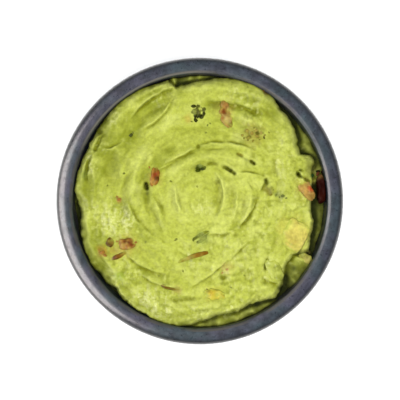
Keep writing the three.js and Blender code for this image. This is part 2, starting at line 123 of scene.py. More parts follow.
# A fold is where one sweep lies over the next. Its step is positive where the side towards the
# arc's centre is on top, and it dies out over its inner and outer widths.
FOLDS = {
    "centre_swirl": ((5.8, 12.4), (9.1, 4.2), (6.2, -6.0), -0.65, 2.4, 1.3),
    "island": ((24.0, 3.2), (21.2, -4.8), (15.6, -11.0), 2.8, 2.2, 1.5),
    "island_low": ((16.8, -10.6), (10.6, -13.5), (2.8, -13.2), 1.3, 1.8, 1.2),
    "island_left": ((-20.0, 3.0), (-17.4, -2.0), (-15.4, -6.4), 1.3, 1.6, 1.6),
    "island_left_low": ((-18.2, 1.0), (-16.4, -2.6), (-15.0, -5.6), 0.8, 0.9, 0.9),
    "island_top": ((-20.5, 11.5), (-15.0, 13.8), (-9.0, 17.6), 1.2, 2.0, 1.6),
    "tip": ((15.6, 12.3), (21.5, 11.7), (27.4, 10.3), 1.7, 2.4, 1.2),
    "tip_side": ((27.5, 10.2), (26.8, 7.0), (24.8, 3.8), 2.2, 2.2, 1.0),
    "tip_inner": ((19.8, 9.6), (20.6, 6.2), (22.4, 4.0), -1.2, 1.0, 1.2),
    "left_sweep": ((-30.2, 1.6), (-26.6, -7.0), (-18.5, -14.6), -1.2, 2.2, 3.0),
    "band": ((-16.0, 14.8), (-7.5, 19.0), (-0.6, 22.8), 1.7, 2.6, 3.2),
    "band_right": ((-1.0, 22.9), (9.0, 24.5), (24.0, 20.4), 1.6, 1.6, 2.4),
    "outer_sweep": ((-9.0, 48.0), (-21.0, 42.2), (-28.8, 34.2), -2.0, 1.4, 1.8),
    "shoulder_step": ((-11.0, 44.0), (-15.6, 35.8), (-24.6, 29.8), 1.2, 2.4, 1.4),
    "speck_line": ((-41.0, 22.2), (-36.0, 22.6), (-31.6, 25.2), -1.4, 1.6, 2.2),
    "top_sweep": ((1.0, 41.9), (15.0, 40.4), (27.5, 36.0), -0.8, 1.8, 1.6),
    "ledge": ((42.0, 10.2), (45.0, 8.6), (48.0, 7.4), -3.0, 0.8, 1.6),
    "chunk_low": ((34.6, -15.6), (38.4, -18.6), (42.6, -20.4), 1.4, 1.4, 1.2),
    "long_line": ((21.5, -15.6), (10.0, -26.4), (-4.0, -36.2), 1.1, 2.0, 1.4),
    "lower_sweep": ((-26.5, -29.4), (-19.3, -33.8), (-7.0, -36.6), 1.6, 2.0, 1.6),
    "upper_sweep": ((-31.5, -21.6), (-24.4, -27.2), (-12.0, -30.0), 1.1, 1.9, 1.8),
    "onion_foot": ((26.4, -31.8), (30.0, -33.8), (33.6, -34.6), 1.5, 1.5, 1.0),
    "herb_fold": ((16.0, 30.2), (21.0, 31.0), (27.0, 28.6), 0.9, 1.4, 1.2),
}
FOLD_SHARPNESS = 0.25
RELIEF = 1.4       # how much deeper than their nominal height the marks are worked
MARK_FADE = 6.0    # how far from its ends a long mark reaches its full height

# Dents and bumps: place, radius, height.
SPOTS = {
    "centre_dome": ((-0.5, 3.0), 7.0, 1.4),
    "leaf_hollow": ((0.0, 13.8), 2.2, -1.8),
    "speck_hollow": ((-27.8, 27.6), 3.6, -1.3),
    "band_valley": ((22.5, 20.5), 3.2, -1.2),
    "olive_hollow": ((28.5, 4.0), 2.0, -0.7),
    "leaf_hole": ((-22.1, 6.1), 1.6, -0.8),
    "ledge_hole": ((41.3, 11.2), 0.9, -1.4),
    "ring_dimple": ((10.0, -32.0), 1.9, -2.2),
    "lip_hollow": ((-42.2, 28.8), 1.3, -2.0),
    "lip_mark": ((-43.8, 21.2), 0.8, -1.4),
    "dice_hole": ((-30.0, -15.8), 0.9, -1.6),
    "mark_c": ((-0.5, 22.9), 0.9, -1.5),
    "avocado_bed": ((39.6, -14.4), 6.4, -1.5),
    "lump_a": ((-3.0, -9.0), 3.0, 0.5),
    "lump_b": ((34.0, -4.0), 4.0, 0.9),
    "lump_c": ((30.0, -11.0), 4.0, 0.8),
    "lump_d": ((36.0, -22.0), 3.5, 0.8),
    "lump_e": ((-14.0, -19.0), 5.0, 0.8),
    "lump_f": ((-10.0, 4.0), 3.5, 0.6),
    "herb_lump": ((23.0, 27.5), 4.0, 1.0),
}

# The heap's edge, round the bowl: bearing in degrees, the radius where it starts to fall and where it
# lands, how far down that is, and how high the dip humps up again between there and the wall.
HEAP_EDGE = [
    (0, 44.1, 47.0, 9.2, 0.2), (5, 45.0, 48.0, 9.0, 0.2), (10, 43.6, 48.2, 4.6, 0.8),
    (15, 45.8, 48.8, 4.4, 0.8), (20, 46.6, 51.4, 5.8, 0.0), (22.5, 45.6, 50.6, 6.4, 0.3),
    (25, 44.2, 47.0, 5.6, 1.5), (27, 44.3, 47.3, 5.2, 1.5), (30, 44.3, 47.7, 5.6, 0.6),
    (35, 46.8, 49.8, 7.4, 1.2), (40, 48.7, 50.9, 8.0, 0.0), (50, 48.9, 52.2, 7.6, 0.0),
    (53, 50.4, 53.2, 5.0, 0.0), (60, 50.2, 54.2, 4.2, 0.0), (65, 51.8, 54.8, 2.5, 0.0),
    (75, 50.4, 54.0, 4.5, 0.0), (80, 50.2, 53.2, 5.6, 0.0), (85, 48.6, 51.8, 5.8, 0.6),
    (90, 46.2, 50.6, 5.2, 1.3), (95, 45.4, 49.8, 5.4, 1.6), (100, 45.2, 49.8, 6.4, 0.8),
    (102, 46.0, 49.4, 4.6, 1.5), (105, 50.2, 53.2, 6.8, 0.0), (110, 50.4, 53.0, 7.2, 0.0),
    (118, 49.6, 54.0, 4.4, 0.0), (126, 50.4, 54.5, 3.2, 0.0), (135, 51.0, 53.7, 6.6, 0.0),
    (140, 48.2, 53.6, 8.0, 0.0), (145, 47.0, 53.4, 8.2, 0.0), (149, 50.5, 52.6, 9.0, 0.0),
    (158, 50.1, 52.7, 8.5, 0.0), (167, 50.5, 53.0, 8.5, 0.0), (174, 50.8, 53.6, 7.0, 0.0),
    (176, 49.8, 53.3, 6.4, 0.0), (180, 46.6, 51.2, 6.4, 0.6), (188, 47.8, 51.0, 9.0, 0.0),
    (196, 47.6, 52.2, 7.4, 0.0), (204, 48.2, 53.2, 6.8, 0.0), (211, 46.6, 53.4, 6.6, 0.0),
    (216, 46.2, 52.4, 7.6, 0.0), (221, 47.2, 52.6, 8.8, 0.0), (226, 48.8, 51.6, 9.5, 0.0),
    (235, 51.4, 53.2, 9.5, 0.0), (245, 51.4, 53.2, 9.0, 0.0), (250, 52.2, 54.3, 4.6, 0.0),
    (256, 51.2, 54.5, 4.0, 0.0), (262, 49.6, 53.6, 5.0, 0.0), (270, 48.0, 50.9, 4.8, 0.5),
    (276, 46.9, 49.6, 4.6, 0.7), (281, 46.2, 48.6, 4.2, 0.9), (290, 46.6, 49.0, 5.4, 1.5),
    (296, 44.6, 48.6, 5.2, 1.9), (301, 44.4, 49.4, 6.2, 1.2), (304, 47.9, 50.7, 6.2, 1.2),
    (308, 49.0, 52.0, 6.8, 0.1), (315, 47.2, 50.0, 8.4, 0.0), (320, 43.6, 46.8, 5.4, 1.3),
    (325, 43.0, 45.1, 4.6, 0.8), (330, 43.3, 45.1, 3.2, 1.3), (335, 48.4, 51.2, 7.5, 0.0),
    (340, 47.1, 49.4, 9.2, 0.3), (346, 46.8, 49.1, 9.4, 1.1), (350, 46.8, 49.0, 9.4, 1.1),
    (355, 44.8, 47.3, 9.3, 0.9),
]
SMEAR, SMEAR_HEIGHT = (64, 12), 1.4  # bearing, half spread and height of the smear that reaches the rim

# Where the dip is coarse (place, radius), where it glistens with crumbs and painted glints, and where the
# spoon smoothed it.
COARSE = [
    ((-36, -8), 9), ((-20, -42), 13), ((-32, -33), 8), ((14, -17), 8), ((28, -7), 9), ((14, -38), 11),
    ((36, 18), 9), ((-36, 36), 5), ((30, -28), 9), ((-44, 18), 6), ((0, -22), 7), ((20, 44), 7),
    ((-16, 42), 5), ((44, 2), 8), ((-50, -2), 5), ((22, 33), 5),
]
GRAINY = [
    ((-38, -8), 6), ((-31, -9), 4.6), ((-15, -44), 7), ((-24, -40), 4), ((-28, -31), 3), ((0, -47), 5),
    ((12, -46), 4), ((1.5, -3), 4.4),
]
SMOOTH = [
    ((-1, 29), 9), ((-14, 24), 6), ((-24, 36), 6), ((8, 18), 5), ((-36, 14), 5), ((0, 4), 4), ((12, 30), 6),
]
SEEDY_AT, SEEDY_REACH = (22.4, 27.8), (5.0, 3.0)  # place and half sizes of the lump of seedy pulp

# Lumps of mash packed beside each other, and fine marks along the spoon's path: size, height, seed.
MASH_LUMPS = ((4.6, 0.6, 3), (2.4, 0.44, 4), (1.3, 0.16, 5))
FINE_MARKS = ((2.6, 0.45, 12), (1.3, 0.16, 13))


# ---------------------------------------------------------------- arithmetic of the surface

def ease(t):
    t = np.clip(t, 0, 1)
    return t * t * (3 - 2 * t)


def spot(x, y, at, radius, firmness=1):
    """1 at a place, falling to 0 round it. More firmness gives it a flatter top and a harder edge."""
    return np.exp(-(((x - at[0]) ** 2 + (y - at[1]) ** 2) / radius ** 2) ** firmness)


def patches(x, y, spots):
    return sum(spot(x, y, at, radius) for at, radius in spots)


def circle_through(a, b, c):
    (ax, ay), (bx, by), (cx, cy) = a, b, c
    d = 2 * (ax * (by - cy) + bx * (cy - ay) + cx * (ay - by))
    a2, b2, c2 = ax * ax + ay * ay, bx * bx + by * by, cx * cx + cy * cy
    x = (a2 * (by - cy) + b2 * (cy - ay) + c2 * (ay - by)) / d
    y = (a2 * (cx - bx) + b2 * (ax - cx) + c2 * (bx - ax)) / d
    return x, y, math.hypot(ax - x, ay - y)


def beside_arc(x, y, start, through, end):
    """How far places lie outside an arc, and how much a mark along it has faded there."""
    cx, cy, radius = circle_through(start, through, end)
    full = 2 * math.pi
    first, middle, last = (math.atan2(py - cy, px - cx) for px, py in (start, through, end))
    span = (last - first) % full
    if (middle - first) % full > span:
        first, span = last, full - span
    off = (np.arctan2(y - cy, x - cx) - first - span / 2 + math.pi) % full - math.pi
    length = radius * span
    fade = ease((span / 2 - np.abs(off)) * radius / min(MARK_FADE, length / 2) + 0.1)
    return np.hypot(x - cx, y - cy) - radius, fade


def scatter(i, j, seed):
    """A fixed draw from -1 to 1 for each whole-numbered place."""
    n = (i * 374761393 + j * 668265263 + seed * 974634777) & 0xFFFFFFFF
    n = ((n ^ (n >> 13)) * 1274126177) & 0xFFFFFFFF
    return ((n ^ (n >> 16)) & 0xFFFF) / 32767.5 - 1


def cells(x, y, size):
    """The whole-numbered cell that each place lies in, and how far along it is in the cell."""
    gx, gy = x / size, y / size
    ix, iy = np.floor(gx).astype(np.int64), np.floor(gy).astype(np.int64)
    return ix, iy, gx - ix, gy - iy


def drift(x, y, size, seed):
    """Smooth noise from -1 to 1 whose humps are about size across."""
    ix, iy, fx, fy = cells(x, y, size)
    u, v = fx * fx * (3 - 2 * fx), fy * fy * (3 - 2 * fy)
    low = scatter(ix, iy, seed) * (1 - u) + scatter(ix + 1, iy, seed) * u
    high = scatter(ix, iy + 1, seed) * (1 - u) + scatter(ix + 1, iy + 1, seed) * u
    return low * (1 - v) + high * v


def lumps(x, y, size, seed):
    """Round lumps packed side by side: 1 on a lump's top and 0 in the crevice round it."""
    ix, iy, fx, fy = cells(x, y, size)
    nearest = np.full(np.shape(fx), 9.0)
    for di in (-1, 0, 1):
        for dj in (-1, 0, 1):
            cx = di + 0.5 + 0.42 * scatter(ix + di, iy + dj, seed)
            cy = dj + 0.5 + 0.42 * scatter(ix + di, iy + dj, seed + 50)
            nearest = np.minimum(nearest, (fx - cx) ** 2 + (fy - cy) ** 2)
    return 1 - np.minimum(nearest * 1.4, 1)


def streaks(x, y, width, seed):
    """Noise drawn out along the spoon's path round the bowl, about width across and four times as long."""
    r = np.hypot(x, y) + 1e-6
    along_x, along_y = -width * y / r, width * x / r
    return sum(drift(x + k * along_x, y + k * along_y, width, seed) for k in (-1.5, -0.5, 0.5, 1.5)) / 2.2


def flecks(x, y, coarse_size, fine_size, fine_share, level, contrast, seed):
    """Scattered flecks, 0 to 1, where noise of two sizes together passes a level."""
    noise = drift(x, y, coarse_size, seed) + fine_share * drift(x, y, fine_size, seed + 1)
    return ease(contrast * (noise - level))


def coarseness(x, y):
    """0 where the spoon left the dip smooth, 1 where the mash is coarse."""
    return np.clip(0.3 + 0.9 * patches(x, y, COARSE) - 0.8 * patches(x, y, SMOOTH), 0.04, 1.0)


def seediness(x, y):
    """1 in the lump of seedy pulp, 0 outside it."""
    away = np.hypot((x - SEEDY_AT[0]) / SEEDY_REACH[0], (y - SEEDY_AT[1]) / SEEDY_REACH[1])
    return ease(2.2 - 2.0 * away + 0.5 * drift(x, y, 2.4, 84))


def seeds(x, y):
    """1 on top of each seed of the seedy pulp and 0 between them."""
    return lumps(x + 0.5 * drift(x, y, 1.7, 83), y, 2.2, 82)


def bearing_share(turn, at, spread):
    """1 in the inner half of a spread of directions, falling to 0 at its limits, in degrees."""
    off = (np.degrees(turn) - at + 180) % 360 - 180
    return ease(2 - 2 * np.abs(off) / spread)


def heap_edge(turn):
    """Start and landing of the heap's fall, its drop and the hump beyond, in each direction."""
    bearings, *columns = zip(*HEAP_EDGE)
    return [np.interp(np.degrees(turn), bearings, column, period=360) for column in columns]


def across_gap(r, landing):
    """0 where the heap has landed and 1 at the bowl's wall."""
    return np.clip((r - landing) / (MOUTH_RADIUS - np.minimum(landing, MOUTH_RADIUS - 1)), 0, 1)


def spooned(x, y, z):
    """The surface with the spoon's ridges, folds, dents and bumps worked into it."""
    wx = x + 0.2 * drift(x, y, 5.0, 21) + 0.25 * drift(x, y, 2.2, 22)
    wy = y + 0.2 * drift(x, y, 5.0, 23) + 0.25 * drift(x, y, 2.2, 24)
    for start, through, end, height, inner, outer in RIDGES.values():
        off, fade = beside_arc(wx, wy, start, through, end)
        z = z + RELIEF * height * np.exp(-(off / np.where(off < 0, inner, outer)) ** 2) * fade
    uneven = 0.8 + 0.45 * drift(x, y, 3.5, 31)
    for start, through, end, step, inner, outer in FOLDS.values():
        off, fade = beside_arc(wx, wy, start, through, end)
        share = np.exp(-np.abs(off) / np.where(off < 0, inner, outer))
        z = z - 0.7 * RELIEF * step * uneven * np.tanh(off / FOLD_SHARPNESS) * share * fade
    for at, radius, height in SPOTS.values():
        z = z + height * spot(wx, wy, at, radius)
    return z


def mashed(x, y, z):
    """The surface with the lumps of the mash, the seeds and the fine marks of the spoon on it."""
    coarse = coarseness(x, y)
    z = z + 0.8 * drift(x, y, 9.0, 1) + 0.35 * drift(x, y, 4.2, 2) * (0.4 + 0.6 * coarse)
    sx, sy = x + 0.5 * drift(x, y, 3.0, 41), y + 0.5 * drift(x, y, 3.0, 42)
    z = z + coarse * sum(height * lumps(sx, sy, size, seed) for size, height, seed in MASH_LUMPS)
    z = z + sum(height * np.abs(streaks(sx, sy, size, seed)) for size, height, seed in FINE_MARKS)
    z = z + 0.45 * seediness(x, y) * seeds(x, y)
    # shallow rings where the spoon was turned round the bowl
    r, turn = np.hypot(x, y), np.arctan2(y, x)
    ring = r + 0.9 * drift(x, y, 5.0, 11) + 7.1 * drift(4.5 * np.sin(turn), 4.5 * np.cos(turn), 2.4, 9)
    return z + 0.12 * (1 - 0.5 * coarse) * ease((r - 3) / 8) * drift(ring, np.zeros_like(ring), 1.1, 9)


def dip_height(x, y):
    """Height of the dip's surface above the foot, in millimetres."""
    x, y = np.asarray(x, float), np.asarray(y, float)
    r, turn = np.hypot(x, y), np.arctan2(y, x)
    z = mashed(x, y, spooned(x, y, DIP_LEVEL + DIP_DOME * (1 - (r / MOUTH_RADIUS) ** 2)))
    # the heap's edge, and the lower dip between it and the wall
    start, landing, drop, hump = heap_edge(turn)
    wobble = (0.3 * drift(x, y, 3.0, 6) + 0.3 * drift(x, y, 1.6, 7)) * ease(drop / 3)
    reach = np.clip((r + wobble - start) / (landing - start), 0, 1)
    past = 1 - np.sqrt(1 - reach * reach)  # a rounded shoulder that falls steeply at its foot
    low = DIP_LEVEL - drop + hump * np.sin(math.pi * across_gap(r, landing))
    low = low + (0.8 * drift(x, y, 4.0, 8) + 0.7 * drift(x, y, 2.0, 10)) * ease(drop / 4)
    z = z * (1 - past) + np.minimum(low, z) * past
    return z + bearing_share(turn, *SMEAR) * ease((r - 44) / 9) * SMEAR_HEIGHT


# ---------------------------------------------------------------- modelling helpers

def deselect():
    if bpy.context.object and bpy.context.object.mode != "OBJECT":
        bpy.ops.object.mode_set(mode="OBJECT")
    bpy.ops.object.select_all(action="DESELECT")


def finish_piece(obj, name, material, slot_name, *nodes):
    """Names a piece, gives it its finish, and lets it ride and stand for its nodes of the frame."""
    obj.name = name
    obj.data.name = name
    obj.data.materials.clear()
    obj.data.materials.append(material)
    obj.data.shade_smooth()
    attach(obj, "root")
    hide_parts(*nodes)
    return obj


def corner_places(mesh, unit=MM):
    flat = np.empty(len(mesh.vertices) * 3)
    mesh.vertices.foreach_get("co", flat)
    return flat.reshape(-1, 3) / unit


def move_corners(mesh, x, y, z):
    mesh.vertices.foreach_set("co", (np.column_stack([x, y, z]) * MM).ravel())
    mesh.update()


def paint(obj, colours):
    values = np.ones((len(colours), 4))
    values[:, :3] = colours
    obj.data.color_attributes.new("tint", "FLOAT_COLOR", "POINT").data.foreach_set("color", values.ravel())


def turned(at, heading, a, b):
    """Places along and across a piece, turned to its heading and moved to where it lies."""
    ahead, aside = math.cos(heading), math.sin(heading)
    return at[0] + a * ahead - b * aside, at[1] + a * aside + b * ahead


def edit_open_edge():
    """Enters edit mode with the edge of an open shape selected."""
    bpy.ops.object.mode_set(mode="EDIT")
    bpy.ops.mesh.select_mode(type="EDGE")
    bpy.ops.mesh.select_all(action="DESELECT")
    bpy.ops.mesh.select_non_manifold()


def round_sheet(across):
    """A square grid, its corners on the square, and where each goes on a disc: how far out, and its turn."""
    deselect()
    bpy.ops.mesh.primitive_grid_add(x_subdivisions=across, y_subdivisions=across, size=2)
    sheet = bpy.context.object
    square = corner_places(sheet.data, 1)
    u, v = square[:, 0], square[:, 1]
    reach = np.maximum(np.abs(u), np.abs(v))
    safe = np.where(reach == 0, 1, reach)
    wide = np.abs(u) >= np.abs(v)
    quarter = math.pi / 4
    turn = np.where(wide, quarter * v / safe, math.pi / 2 - quarter * u / safe)
    turn = np.where(wide & (u < 0), math.pi - quarter * v / safe, turn)
    turn = np.where(~wide & (v < 0), -math.pi / 2 + quarter * u / safe, turn)
    return sheet, square, reach, turn


def thrown(outline, sides):
    """A round form raised ring by ring, as on a potter's wheel, from the middle of its underside."""
    deselect()
    (radius, height), *rest = outline
    bpy.ops.mesh.primitive_circle_add(vertices=sides, radius=radius * MM, fill_type="TRIFAN",
                                      location=(0, 0, height * MM))
    bpy.ops.object.transform_apply(location=True, rotation=True, scale=True)
    edit_open_edge()
    for next_radius, next_height in rest:
        rise = (0, 0, (next_height - height) * MM)
        bpy.ops.mesh.extrude_region_move(TRANSFORM_OT_translate={"value": rise})
        grow = next_radius / radius
        bpy.ops.transform.resize(value=(grow, grow, 1), center_override=(0, 0, next_height * MM))
        radius, height = next_radius, next_height
    bpy.ops.mesh.merge(type="CENTER")
    bpy.ops.mesh.select_all(action="SELECT")
    bpy.ops.mesh.normals_make_consistent(inside=False)
    bpy.ops.object.mode_set(mode="OBJECT")
    return bpy.context.object


# ---------------------------------------------------------------- bowl

def inside_radius(height):
    fall = np.clip((LIP - height) / (LIP - FLOOR_HEIGHT), 0, 1)
    return MOUTH_RADIUS * np.sqrt(1 - fall ** INNER_FULLNESS)


def quarter_turn(steps):
    """The angles of a quarter circle, in even steps."""
    return [math.pi / 2 * i / steps for i in range(steps + 1)]


def bowl_outline():
    """The bowl's half section, from the foot's recess up the wall, over the rim and down inside."""
    foot = [(FOOT_INNER - 1.2, FOOT_RECESS), (FOOT_INNER - 0.4, FOOT_RECESS - 0.3), (FOOT_INNER, 0.9),
            (FOOT_INNER + 0.3, 0.25), (FOOT_INNER + 0.8, 0), (FOOT_OUTER - 1.4, 0),
            (FOOT_OUTER - 0.6, 0.2), (FOOT_OUTER - 0.25, 0.8)]
    widest, wall_steps = math.acos(FOOT_OUTER / RIM_RADIUS), 26
    wall = [(RIM_RADIUS * math.cos(angle), BELLY * (1 - math.sin(angle) ** (2 / OUTER_FULLNESS)))
            for angle in (widest * i / wall_steps for i in range(wall_steps, -1, -1))]
    rim = [(CROWN_RADIUS + (RIM_RADIUS - CROWN_RADIUS) * math.sin(angle), BELLY + SHOULDER * math.cos(angle))
           for angle in quarter_turn(12)[-2::-1]]
    bevel = [(MOUTH_RADIUS + BEVEL + 0.65, RIM_TOP - 0.05), (MOUTH_RADIUS + BEVEL + 0.25, RIM_TOP - 0.18),
             (MOUTH_RADIUS + BEVEL - 0.15, RIM_TOP - 0.38), (MOUTH_RADIUS + 0.3, RIM_TOP - 0.68)]
    inside = [(MOUTH_RADIUS * math.cos(angle),
               LIP - (LIP - FLOOR_HEIGHT) * math.sin(angle) ** (2 / INNER_FULLNESS))
              for angle in quarter_turn(24)[:-1]]
    return foot + wall + rim + bevel + inside


def make_bowl(glaze):
    bowl = thrown(bowl_outline(), BOWL_SIDES)
    return finish_piece(bowl, "stoneware_bowl", glaze, "stoneware", "bowl")


# ---------------------------------------------------------------- the dip's colours

LIGHT_GAIN = 1.85  # how much brighter than its own colour a level surface looks


def srgb(*colour):
    """A colour read as 0 to 255 on a screen, in the linear values that a shader takes."""
    return tuple(((c / 255 + 0.055) / 1.055) ** 2.4 if c > 10 else c / 255 / 12.92 for c in colour)


def seen(*colour):
    """The colour of a thing that looks like this, 0 to 255, under the studio's light."""
    return np.array(srgb(*colour)) / LIGHT_GAIN


FLESH = seen(199, 207, 84)         # the dip's own green
PALE_FLESH = seen(221, 228, 114)   # paler pulp, and the painted light on the ridges
CREAM_CRUMB_GLINT = seen(236, 240, 140)  # pale crumbs of pulp in the coarse mash, and painted wet glints
COOL_FLESH = seen(158, 167, 50)    # denser olive flesh, and the painted shade of the troughs
CREASE_SHADE = seen(128, 132, 20)    # painted shade in the creases
SEEDY_FLESH = seen(96, 92, 16)     # between the seeds
GAP_SHADE = seen(40, 46, 23)            # painted shade at the foot of the gap along the wall

# Broad patches, paler (positive) and darker olive (negative): place, radius, strength. Some are pale pulp
# and dense flesh; others are painted light on ridges and painted shade in troughs, hollows and beside gaps.
TONES = [
    ((-37.5, 15), 5.0, -0.6), ((-19, 39.5), 4.0, -0.9), ((-26, 33.5), 4.0, -0.7), ((-12, 45), 2.4, 0.5),
    ((-28, 28), 4.0, -0.9), ((3, 40.8), 2.6, -0.7), ((13, 40), 2.4, -0.6), ((24, 37.2), 2.4, -0.6),
    ((2, 28), 7.0, -0.6), ((-41, 26), 7.0, -1.2), ((-18, 16), 3.6, -1.2), ((-21, 10.5), 3.4, -1.1),
    ((-21.6, 1.5), 2.4, -1.0), ((-46, 8), 6.6, -1.1), ((-48, 0), 3.6, -0.6), ((-15, 48), 4.0, -0.7),
    ((-22, 46), 3.0, -0.5), ((-34, 38), 4.0, -0.4), ((-31, -4), 4.4, -1.0), ((-22, -14.5), 4.4, -0.7),
    ((-36, -15), 5.0, -0.3), ((-24, -28), 3.6, -0.6), ((-18, -34), 4.6, -0.7), ((-44, -18), 5.0, -0.8),
    ((-47, -10), 3.0, -0.5), ((-28, -11), 3.6, -0.7), ((-10, -36), 4.0, -0.5), ((-18, -22), 4.0, -0.4),
    ((0, 3), 13.0, 0.35), ((30, 37), 4.4, -0.6), ((36, 31), 5.0, -0.7), ((42, 16), 2.4, -0.3),
    ((44, 9), 3.0, -0.7), ((46, -1), 2.6, -0.6), ((33, -33), 3.4, -0.9), ((31, -15), 3.0, -0.5),
    ((20, 41), 4.0, -0.3), ((-4, -50), 4.0, -0.3), ((1.5, 6), 4.6, -0.5), ((-40, -29), 4.0, -0.8),
    ((-42, 36), 4.0, -0.5), ((16, -11.5), 2.8, -0.9), ((22.8, 0), 2.0, -0.7), ((20, 30), 3.6, -0.5),
    ((16.5, 21.8), 2.6, -0.9), ((-14, 33), 3.6, 0.8), ((-27, 17), 3.0, 0.8), ((-26.5, 5), 2.6, 0.9),
    ((-44, 17), 2.0, 0.6), ((-37, -7), 6.0, 0.3), ((-34, 36), 1.8, 0.9), ((18.5, 34.4), 3.0, 0.9),
    ((35.5, 24), 3.6, 0.6), ((2, -3), 5.0, 0.5), ((10, 3), 2.6, 0.9), ((23, -10), 3.6, 0.9),
    ((29.5, -25.5), 2.4, 0.9), ((-14, -45), 8.0, 0.6), ((-27, -37), 3.6, 0.8), ((5, 18), 5.0, -0.3),
    ((13, 47.6), 2.4, 0.9), ((2, -46), 6.0, 0.8), ((20, -46), 4.0, 0.6), ((28, -37), 3.6, 0.8),
    ((24, -20), 4.6, 0.6), ((45, -6), 2.4, 0.6), ((34, -2), 4.0, 0.6), ((-4, 38), 5.0, 0.4),
    ((20, -36), 4.0, 0.4), ((-25, -2), 3.0, 0.7), ((15, -3), 5.4, 0.8), ((30, 16), 4.4, 0.5),
    ((15, 25.4), 3.0, 0.9), ((-10, 12), 4.6, 0.7), ((10, -23), 7.0, 0.7), ((-22, 18.6), 2.4, 0.9),
    ((0, 45), 5.0, 0.7), ((-11, 43.4), 1.6, 0.6), ((-45, -6), 2.4, 0.5), ((16, 10), 4.0, 0.6),
    ((-28, 40), 3.0, 1.1), ((-29, 44), 2.6, 0.9), ((-8, -9), 6.0, 0.5), ((31, 41.6), 2.0, 0.9),
    ((39, 32), 2.6, 0.6), ((-30, 18.5), 3.0, -0.6), ((-42.6, 26), 2.6, -0.8), ((-32, 24), 4.0, -0.4),
    ((-29, -4), 3.0, -0.5), ((-22, 6.5), 3.0, -0.5), ((17, 10.5), 2.2, -0.7), ((7, 5), 2.4, -0.8),
    ((33.6, -32), 2.2, -0.9), ((34, -36.6), 1.8, -1.4), ((-46.3, 17), 1.8, -1.2), ((-14, 47.6), 2.4, -1.2),
    ((46.8, 1.6), 1.6, -1.0), ((47, -4), 1.6, -0.6), ((46.6, -14), 2.0, -0.6), ((-9, 34), 2.0, 0.7),
    ((22, 32), 2.6, 0.7), ((-9, 1), 2.4, 0.5), ((9, -1), 1.6, 0.8), ((12.5, 6), 2.0, 0.7),
    ((-18, -10), 2.4, 0.8), ((-41, -7), 2.4, 0.6), ((25, -14), 2.4, 0.6), ((21.5, -7), 1.6, 0.9),
    ((18.5, 18.5), 2.8, 1.0), ((22, 15.5), 2.4, 0.6), ((24.2, 7.6), 2.4, 1.0), ((-6, 21), 3.2, -0.5),
    ((30, 22), 3.0, 0.5), ((-4, -20), 4.0, 0.4), ((-34, -26), 3.0, 0.4), ((8, -12), 4.0, 0.4),
    ((40, -3), 3.0, 0.4), ((26, 4), 1.6, 0.3), ((-24, 23), 3.0, 0.4), ((-5.5, -23.5), 2.4, -0.6),
    ((-35.4, -34), 1.8, -1.0), ((-42, 16.5), 2.2, 1.0), ((-40, 9.5), 2.0, 0.7), ((-21.5, 18), 2.0, 0.8),
    ((-14.5, 16), 2.4, -0.7), ((-42.5, -12.5), 2.0, -1.0), ((24.5, 31), 2.4, 0.6), ((22, 23.5), 2.4, 0.6),
    ((15, 24), 2.4, 0.5), ((12.5, 36), 2.0, 0.7), ((23, -13), 2.4, 0.6), ((-44.5, 20), 2.6, -0.6),
    ((-40.5, 27.5), 2.6, -0.6), ((-49, 4), 2.0, -0.5), ((4.6, 38.6), 2.0, -0.6), ((-11, 21.5), 2.6, -0.6),
    ((-22.5, -16.5), 2.4, -0.5), ((11.5, -9), 2.4, 0.6), ((17, -15.5), 2.2, 0.5), ((10, -40), 3.0, 0.5),
    ((21.5, -22), 2.4, 0.6), ((-9.5, -2), 1.8, 0.9), ((10.8, 5), 1.6, 0.6), ((-9.6, 4.5), 1.6, 0.6),
    ((7, 0), 2.0, -0.5),
]
